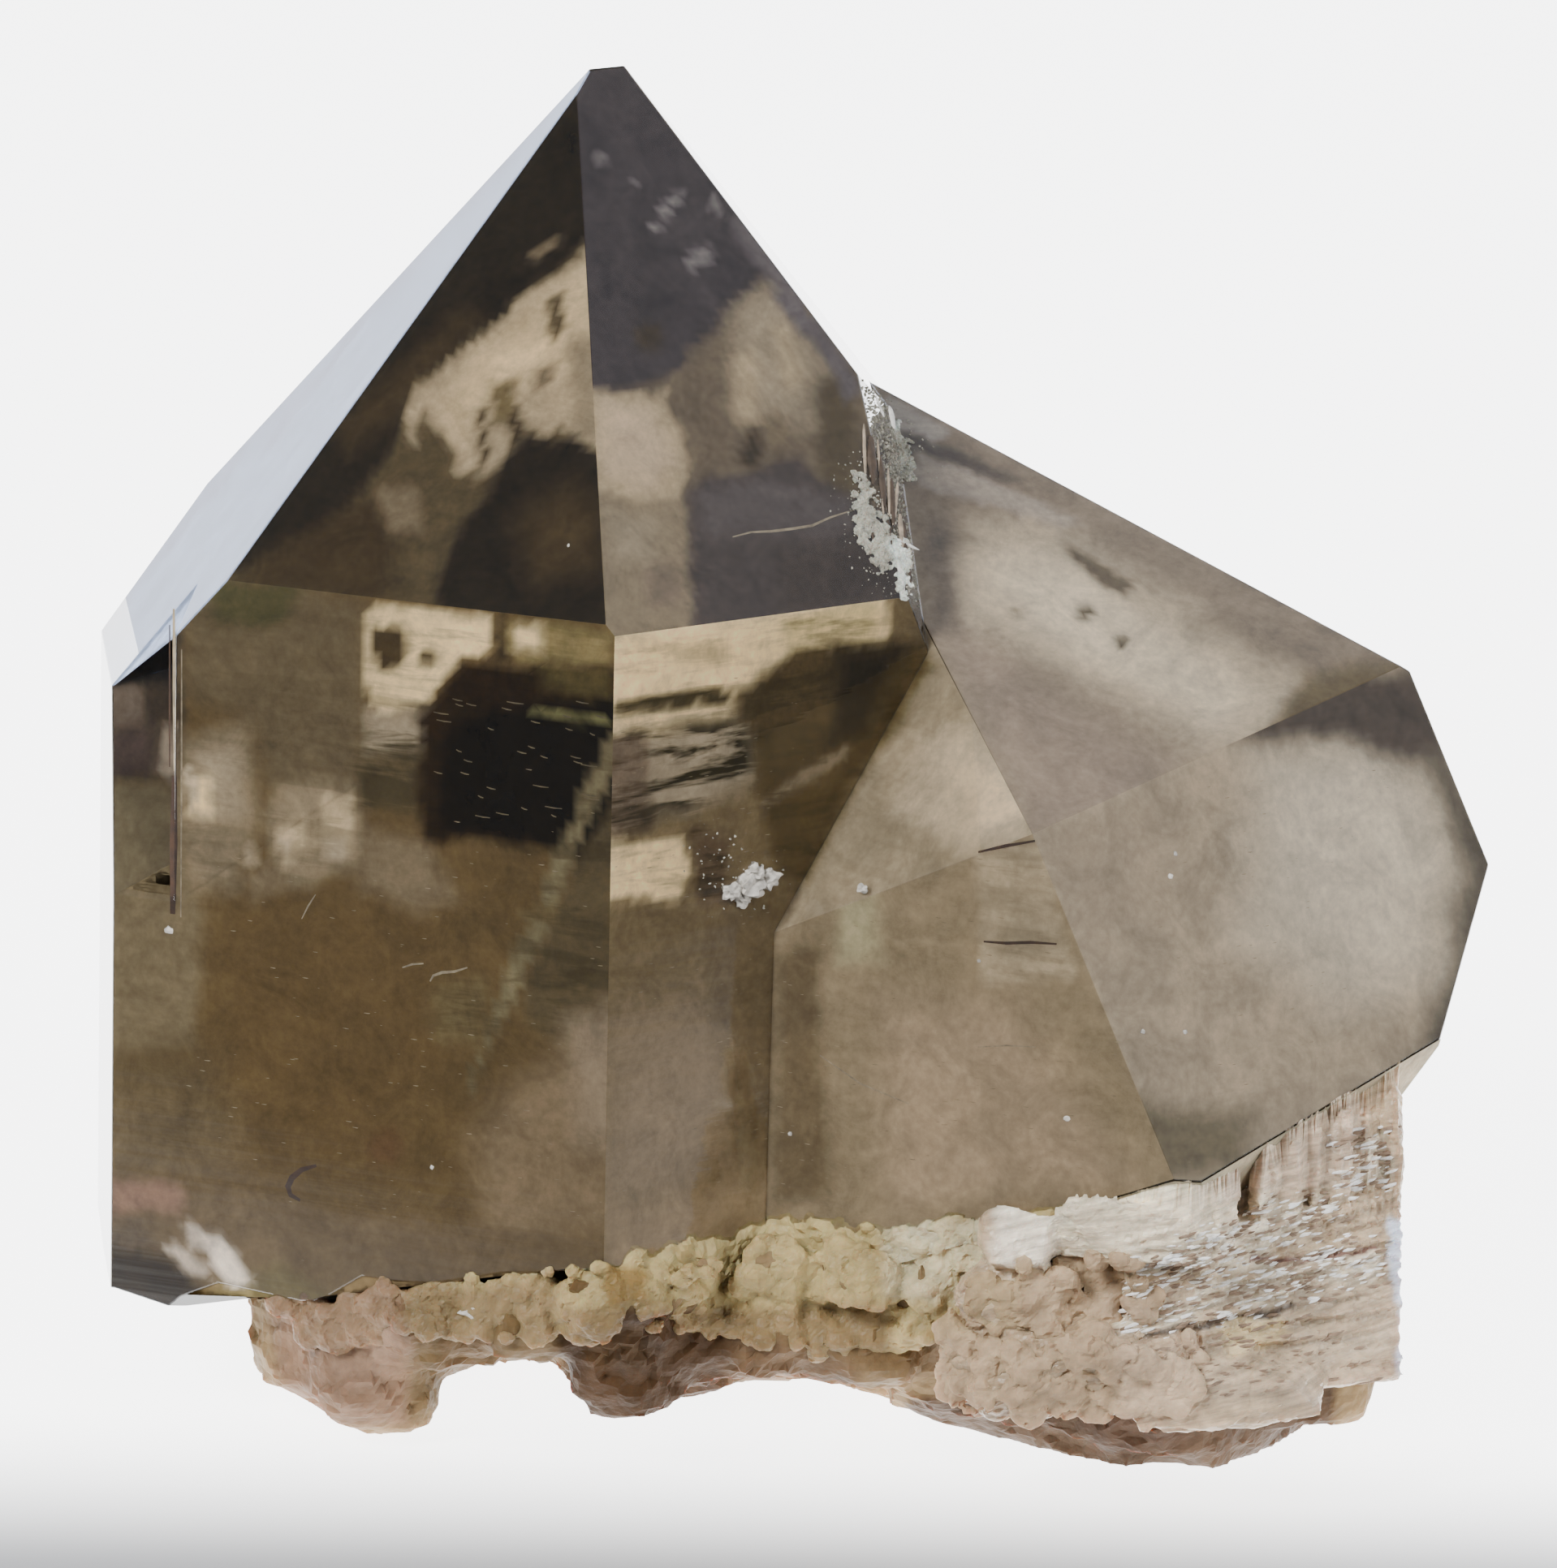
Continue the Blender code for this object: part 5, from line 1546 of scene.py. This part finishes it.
# %% Splinters
splinters = {
    # for each kind its colour, and where each needle starts and ends and how wide it is
    # dark needles of painted shade in the gaps between splinters
    "dark_gaps": ((0.045, 0.028, 0.016), [
        ((1072, 536), (1076, 600), 13), ((1084, 560), (1090, 628), 9), ((1098, 590), (1101, 650), 8),
        ((1093, 640), (1098, 672), 6), ((1113, 640), (1116, 684), 6), ((1120, 696), (1122, 720), 4),
        ((1070, 640), (1078, 672), 4),
    ]),
    "tan_splinters": ((0.270, 0.212, 0.150), [
        ((1064, 520), (1066, 590), 5), ((1081, 540), (1084, 590), 4), ((1094, 575), (1096, 640), 4),
        ((1106, 594), (1100, 648), 6), ((1108, 630), (1112, 676), 7), ((1086, 610), (1090, 650), 3),
    ]),
    "white_splinters": ((0.520, 0.500, 0.460), [
        ((1100, 662), (1132, 678), 5), ((1078, 486), (1090, 516), 4), ((1096, 500), (1102, 530), 7),
        ((1106, 692), (1114, 730), 7),
    ]),
}
splinter_face = face_like(RIGHT_PYRAMID)
for name, (colour, needles) in splinters.items():
    needles_bm = bmesh.new()
    for start, end, width in needles:
        foot = on_plane(start, splinter_face.verts[0].co, splinter_face.normal)
        point = on_plane(end, splinter_face.verts[0].co, splinter_face.normal)
        along = (point - foot) / 2
        side = along.cross(splinter_face.normal).normalized() * width / PICTURE_PER_MM * MM / 2
        out = splinter_face.normal * width / PICTURE_PER_MM * MM / 3
        for vert in bmesh.ops.create_icosphere(needles_bm, subdivisions=2, radius=1)["verts"]:
            x, y, z = vert.co * (1 + 0.25 * noise.noise(vert.co * 2 + foot / MM))
            vert.co = (foot + point) / 2 + along * x + side * y + out * z
    bmesh.ops.recalc_face_normals(needles_bm, faces=needles_bm.faces)
    piece_from(name, needles_bm, flat_finish(name.replace("_", " "), colour, 0.7))

# %% [markdown]
# The crystals' broken undersides are dull: a fracture scatters light instead of mirroring it. Two of
# them show below the leaning crystal, so each gets a thin rough skin.

# %% Dull undersides
dull_break = broken_finish("dull quartz break", 0.7, 0.05, 0.2, 0.5)
SKIN = 0.03 * MM
SKIN_SPACING = 0.4 * MM
BREAK_TINT = (0.330, 0.270, 0.185)
for name, normal in (("front_seat_skin", FRONT_SEAT), ("rib_seat_skin", RIB_SEAT)):
    skin = face_grid(normal, -SKIN, SKIN_SPACING)
    piece_from(name, painted(skin, (BREAK_TINT, 1.0, 0.0), []), dull_break)

# %% [markdown]
# A few crumbs are big enough to see one by one: a white crumb in the corner between the crystals, a
# white dot, a chip on the left foot, and single bright grains. Each is a small lumpy ball.

# %% Single crumbs
single_crumbs = [
    # where it shows, the face it sits on, its half size in mm, and its seed
    ((922, 1092), RIGHT_UPRIGHT, (0.52, 0.38, 0.34), 21),
    ((946, 1082), RIGHT_UPRIGHT, (0.40, 0.30, 0.36), 22),
    ((902, 1098), RIGHT_UPRIGHT, (0.34, 0.28, 0.22), 23),
    ((930, 1074), RIGHT_UPRIGHT, (0.30, 0.22, 0.30), 37),
    ((914, 1108), RIGHT_UPRIGHT, (0.26, 0.20, 0.20), 38),
    ((1062, 1095), LEANING_LEFT, (0.15, 0.14, 0.10), 24),
    ((208, 1146), LEFT_UPRIGHT, (0.14, 0.09, 0.03), 25),
    ((532, 1438), LEFT_UPRIGHT, (0.06, 0.05, 0.02), 26),
    ((973, 1397), LEANING_LEFT, (0.07, 0.06, 0.03), 27),
    ((1206, 1184), LEANING_LEFT, (0.05, 0.05, 0.02), 28),
    ((1448, 1052), LEANING_RIGHT, (0.07, 0.06, 0.03), 29),
    ((1442, 1080), LEANING_RIGHT, (0.09, 0.07, 0.03), 30),
    ((1408, 1271), LEANING_RIGHT, (0.07, 0.06, 0.03), 31),
    ((1460, 1271), LEANING_RIGHT, (0.07, 0.06, 0.03), 32),
    ((1314, 1378), LEANING_LEFT, (0.09, 0.08, 0.03), 33),
    ((583, 1616), LEFT_UPRIGHT, (0.36, 0.20, 0.20), 34),
    ((700, 672), LEFT_PYRAMID, (0.03, 0.06, 0.02), 35),
]
crumbs_bm = bmesh.new()
for spot, normal, half, seed in single_crumbs:
    place, facing = on_face(spot, normal)
    made = bmesh.ops.create_icosphere(crumbs_bm, subdivisions=3, radius=1)["verts"]
    shift = Vector((seed, 2 * seed, 3 * seed))
    level = facing.cross(Vector((0, 0, 1))).normalized()
    axes = (level, facing.cross(level), facing)
    for vert in made:
        lumpy = 1 + 0.7 * noise.noise(vert.co * 1.6 + shift) + 0.3 * noise.noise(vert.co * 4 + shift)
        parts = [part * reach * MM * lumpy for part, reach in zip(vert.co, half)]
        vert.co = place + sum((axis * part for axis, part in zip(axes, parts)), Vector())
bmesh.ops.recalc_face_normals(crumbs_bm, faces=crumbs_bm.faces)
piece_from("single_crumbs", crumbs_bm, flat_finish("white crumbs", (0.46, 0.43, 0.38), 0.7))

# %% [markdown]
# The fluted piece is glassy and drawn out in fine flutes that rise a little to the right. They are
# waves of relief across an evened copy of the solid, broken up by noise, and they turn upright at the
# piece's right end. Its left foot is lumpy like the matrix.

# %% Flutes
FLUTE_PITCH = 0.32 * MM
FLUTE_RELIEF = 0.075 * MM
FLUTE_RISE = math.radians(14)
LUMP = 0.7 * MM
LUMP_RELIEF = 0.13 * MM
fluted_zone = [(1360, 1560), (1440, 1470), (1660, 1440), (1740, 1480), (1740, 1600), (1500, 1620),
               (1370, 1660)]
lump_zone = [(1150, 1590), (1370, 1600), (1480, 1650), (1475, 1760), (1150, 1760)]
rib_zone = [(1640, 1330), (1745, 1320), (1745, 1500), (1660, 1500)]


def fluted_push(point):
    """Rows that rise to the right over the front, and upright ribs at the upper right end."""
    spot = seen_at(point)
    height = point.z * math.cos(FLUTE_RISE) - point.x * math.sin(FLUTE_RISE)
    wander = 0.6 * noise.noise(point / (1.5 * MM))
    row = math.sin(2 * math.pi * (height / FLUTE_PITCH + wander))
    broken = 0.4 + 0.6 * noise.noise(Vector((point.x / (0.5 * MM), 0, height / (0.3 * MM))))
    rib = math.sin(2 * math.pi * (point.x * 1.2 / FLUTE_PITCH + wander))
    lumps = LUMP_RELIEF * chip_push(point, LUMP) * soft_inside(spot, lump_zone, 24)
    flutes = row * broken * soft_inside(spot, fluted_zone, 20) + 0.5 * rib * soft_inside(spot, rib_zone, 14)
    return lumps + FLUTE_RELIEF * flutes


print("a flute stands out", round(fluted_push(mm(14, -12, 8)) / MM, 3), "mm here")

# %% [markdown]
# Its finish is the broken one with more shine. Fine fibres run along the flutes, in tint and relief, and
# where the painted glint patches ask for it dull dashes leave only short painted highlights between them.

# %% Fluted finish
DASH_STRETCH = (1100, 1100, 5200)
FIBRE_STRETCH = (420, 420, 4200)
FIBRE_RELIEF = 0.1 * MM
DULL_FLUTE = (0.300, 0.225, 0.150, 1)

fluted_finish = broken_finish("glinting fluted quartz", 0.3, 0.3, 0.15, 0.4)
tree = fluted_finish.node_tree
shader = tree.nodes["Principled BSDF"]
glinting = node_in(tree, "ShaderNodeAttribute", attribute_name="streaks").outputs["Fac"]
dashes = noise_node(tree, stretched_place(tree, DASH_STRETCH, FLUTE_RISE), 1.0, 3, 0.6)
dulled = maths(tree, "MULTIPLY", ranged(tree, dashes, 0.46, 0.55, 1, 0), glinting, clamp=True)
fibres = noise_node(tree, stretched_place(tree, FIBRE_STRETCH, FLUTE_RISE), 1.0, 5, 0.65)
mottled, grained = (shader.inputs[key].links[0].from_socket for key in ("Base Color", "Normal"))
fibrous = scaled(tree, mottled, ranged(tree, fibres, 0.36, 0.64, 0.66, 1.22))
ridges = {"Height": fibres, "Strength": 0.5, "Distance": FIBRE_RELIEF, "Normal": grained}
looks = {
    "Base Color": mixed_colour(tree, dulled, fibrous, DULL_FLUTE),
    "Normal": node_in(tree, "ShaderNodeBump", ridges).outputs[0],
}
filled(tree, shader, looks)
print("fluted finish has", len(tree.nodes), "nodes")

# %% [markdown]
# The smooth pale block, the knob, the ledges and the ribbed end each have a tint of their own, and
# below the flutes one clear smooth facet shows grey.

# %% Fluted crystal
FLUTED_SPACING = 0.12 * MM
FLUTED_CHIPS = [(1.6 * MM, 0.08 * MM), (0.6 * MM, 0.04 * MM)]
FLUTED_GRAIN = (0.4 * MM, 0.03 * MM)
FLUTED_TINT = (0.440, 0.330, 0.215)
PAINTED_GLINT = (0.700, 0.600, 0.450)
fluted_tints = [
    cloud([(1400, 1450), (1580, 1440), (1560, 1560), (1290, 1565), (1290, 1470)], 10,
          (0.700, 0.590, 0.430)),
    cloud([(1224, 1470), (1300, 1470), (1300, 1562), (1224, 1562)], 8, (0.690, 0.595, 0.470)),
    cloud([(1460, 1360), (1692, 1340), (1660, 1470), (1480, 1475)], 12, (0.560, 0.430, 0.310)),
    cloud([(1380, 1585), (1740, 1575), (1740, 1730), (1380, 1730)], 10, (0.430, 0.330, 0.225)),
    cloud([(1491, 1632), (1570, 1617), (1584, 1640), (1520, 1674)], 9, (0.700, 0.540, 0.300)),
    cloud([(1150, 1620), (1370, 1610), (1370, 1745), (1150, 1745)], 12, (0.350, 0.250, 0.155)),
    cloud([(1360, 1655), (1480, 1640), (1475, 1745), (1360, 1745)], 10, (0.470, 0.340, 0.225)),
    # painted highlights: glint patches along the flutes, broken into dashes by the finish
    cloud([(1440, 1555), (1560, 1490), (1640, 1470), (1600, 1510), (1460, 1570)], 6, PAINTED_GLINT, 1.0, 0.8),
    cloud([(1552, 1553), (1700, 1545), (1700, 1577), (1552, 1580)], 6, PAINTED_GLINT, 1.0, 0.8),
    cloud([(1475, 1577), (1612, 1577), (1600, 1606), (1475, 1613)], 5, PAINTED_GLINT, 1.0, 0.8),
    cloud([(1371, 1621), (1475, 1606), (1475, 1640), (1371, 1650)], 6, PAINTED_GLINT, 1.0, 0.8),
    cloud([(1675, 1400), (1710, 1400), (1710, 1450), (1675, 1450)], 8, PAINTED_GLINT, 1.0, 0.6),
    cloud([(1400, 1646), (1480, 1630), (1590, 1606), (1592, 1614), (1484, 1640), (1404, 1654)], 2,
          (0.110, 0.080, 0.055)),
    cloud([(1540, 1544), (1696, 1540), (1696, 1547), (1540, 1553)], 2, (0.190, 0.100, 0.075)),
    cloud([(1712, 1500), (1745, 1500), (1745, 1700), (1724, 1700)], 5, (0.640, 0.700, 0.800)),
]
fluted_bm = evened(merged_copy("fluted_crystal"), FLUTED_SPACING)
raised_to_quartz(fluted_bm)
roughen(fluted_bm, FLUTED_CHIPS, FLUTED_GRAIN)
fluted_bm.normal_update()
for vert in fluted_bm.verts:
    vert.co += vert.normal * fluted_push(vert.co)
painted(fluted_bm, (FLUTED_TINT, 1.0, 0.0), fluted_tints)
fluted = piece_from("fluted_quartz", fluted_bm, fluted_finish)
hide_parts("fluted_crystal")

# %% [markdown]
# Small rounded lumps cover the fluted piece's foot and the end of the matrix beside it. They sit on
# the finished fluted surface where it shows, and elsewhere on an upright plane near its front.

# %% Lumps on the fluted piece's foot
FOOT_FRONT = mm(0, -13.4, 0)
TO_THE_VIEWER = Vector((0, -1, 0))
fluted_tree = tree_of(fluted)
foot_outline = [
    (1160, 1622), (1236, 1566), (1330, 1550), (1404, 1556), (1424, 1600), (1412, 1650), (1480, 1660),
    (1470, 1738), (1190, 1742), (1160, 1700),
]
foot_tints = [
    cloud([(1150, 1560), (1260, 1560), (1250, 1640), (1150, 1650)], 18, (0.330, 0.240, 0.135)),
    cloud([(1360, 1600), (1490, 1640), (1475, 1745), (1380, 1745)], 16, (0.470, 0.345, 0.230)),
]


def fluted_front(spot):
    """Where the fluted piece, or a plane near its front, shows at this spot."""
    aim = on_plane(spot, FOOT_FRONT, TO_THE_VIEWER)
    return seen_on(fluted_tree, aim) or aim, TO_THE_VIEWER


foot_balls = lumps_in(foot_outline, fluted_front, 190, (0.20 * MM, 0.52 * MM), 0.6, 54)
lump_piece("foot_lumps", foot_balls, 0.11 * MM, [(0.6 * MM, 0.09 * MM)], (0.3 * MM, 0.03 * MM),
           (0.360, 0.258, 0.160), foot_tints, matrix_finish)

# %% [markdown]
# The flutes' glints are painted highlights: hundreds of short white flats, which the same scatter tree lays
# in rows along the flutes, and a sparser set of brown ones is painted shadow between them.

# %% Painted glints and shadows on the flutes
TURNED_AWAY = -0.35
glint = chip_shape("glint", (1.0, 0.18, 0.26), 31)
glint_zone = [
    ([(1400, 1560), (1450, 1520), (1560, 1480), (1640, 1465), (1650, 1500), (1700, 1540), (1706, 1580),
      (1612, 1600), (1480, 1640), (1380, 1650), (1330, 1610)], 16),
    ([(1640, 1400), (1712, 1390), (1716, 1470), (1650, 1480)], 12),
]
shadow_zone = glint_zone + [([(1400, 1640), (1590, 1610), (1700, 1690), (1500, 1720)], 24)]
level_row = (0, -FLUTE_RISE, 0)
# white chips are painted highlights, brown chips painted shadow
for name, patch, colour, shine, density, seed in (
    ("bright_glints", glint_zone, (0.96, 0.91, 0.79), 0.3, 1.3e7, 61),
    ("brown_glints", shadow_zone, (0.240, 0.165, 0.110), 0.5, 0.8e7, 62),
):
    surface = bmesh.new()
    surface.from_mesh(fluted.data)
    turned_away = [face for face in surface.faces if face.normal.y > TURNED_AWAY]
    bmesh.ops.delete(surface, geom=turned_away, context="FACES")
    strewn(name, surface, patch, level_row, glint, density, (0.06 * MM, 0.36 * MM), 0.05, seed,
           flat_finish(name.replace("_", " "), colour, shine))

# %% [markdown]
# Fine relief may stand out a little from the measured box, but not far. This cell names each piece that
# passes it by more than a fifth of a millimetre, and the floor, which is stage and not object.

# %% Last checks
PROUD = 0.2 * MM
for obj in bpy.data.objects:
    if obj.type == "MESH" and len(obj.data.vertices):
        lows = [min(vert.co[i] for vert in obj.data.vertices) for i in range(3)]
        highs = [max(vert.co[i] for vert in obj.data.vertices) for i in range(3)]
        proud = max(max(cad_box[0][i] - lows[i], highs[i] - cad_box[1][i]) for i in range(3))
        if proud > PROUD and obj.name in bpy.context.scene.objects:
            print(obj.name, "stands", round(proud / MM, 2), "mm out of the CAD box")
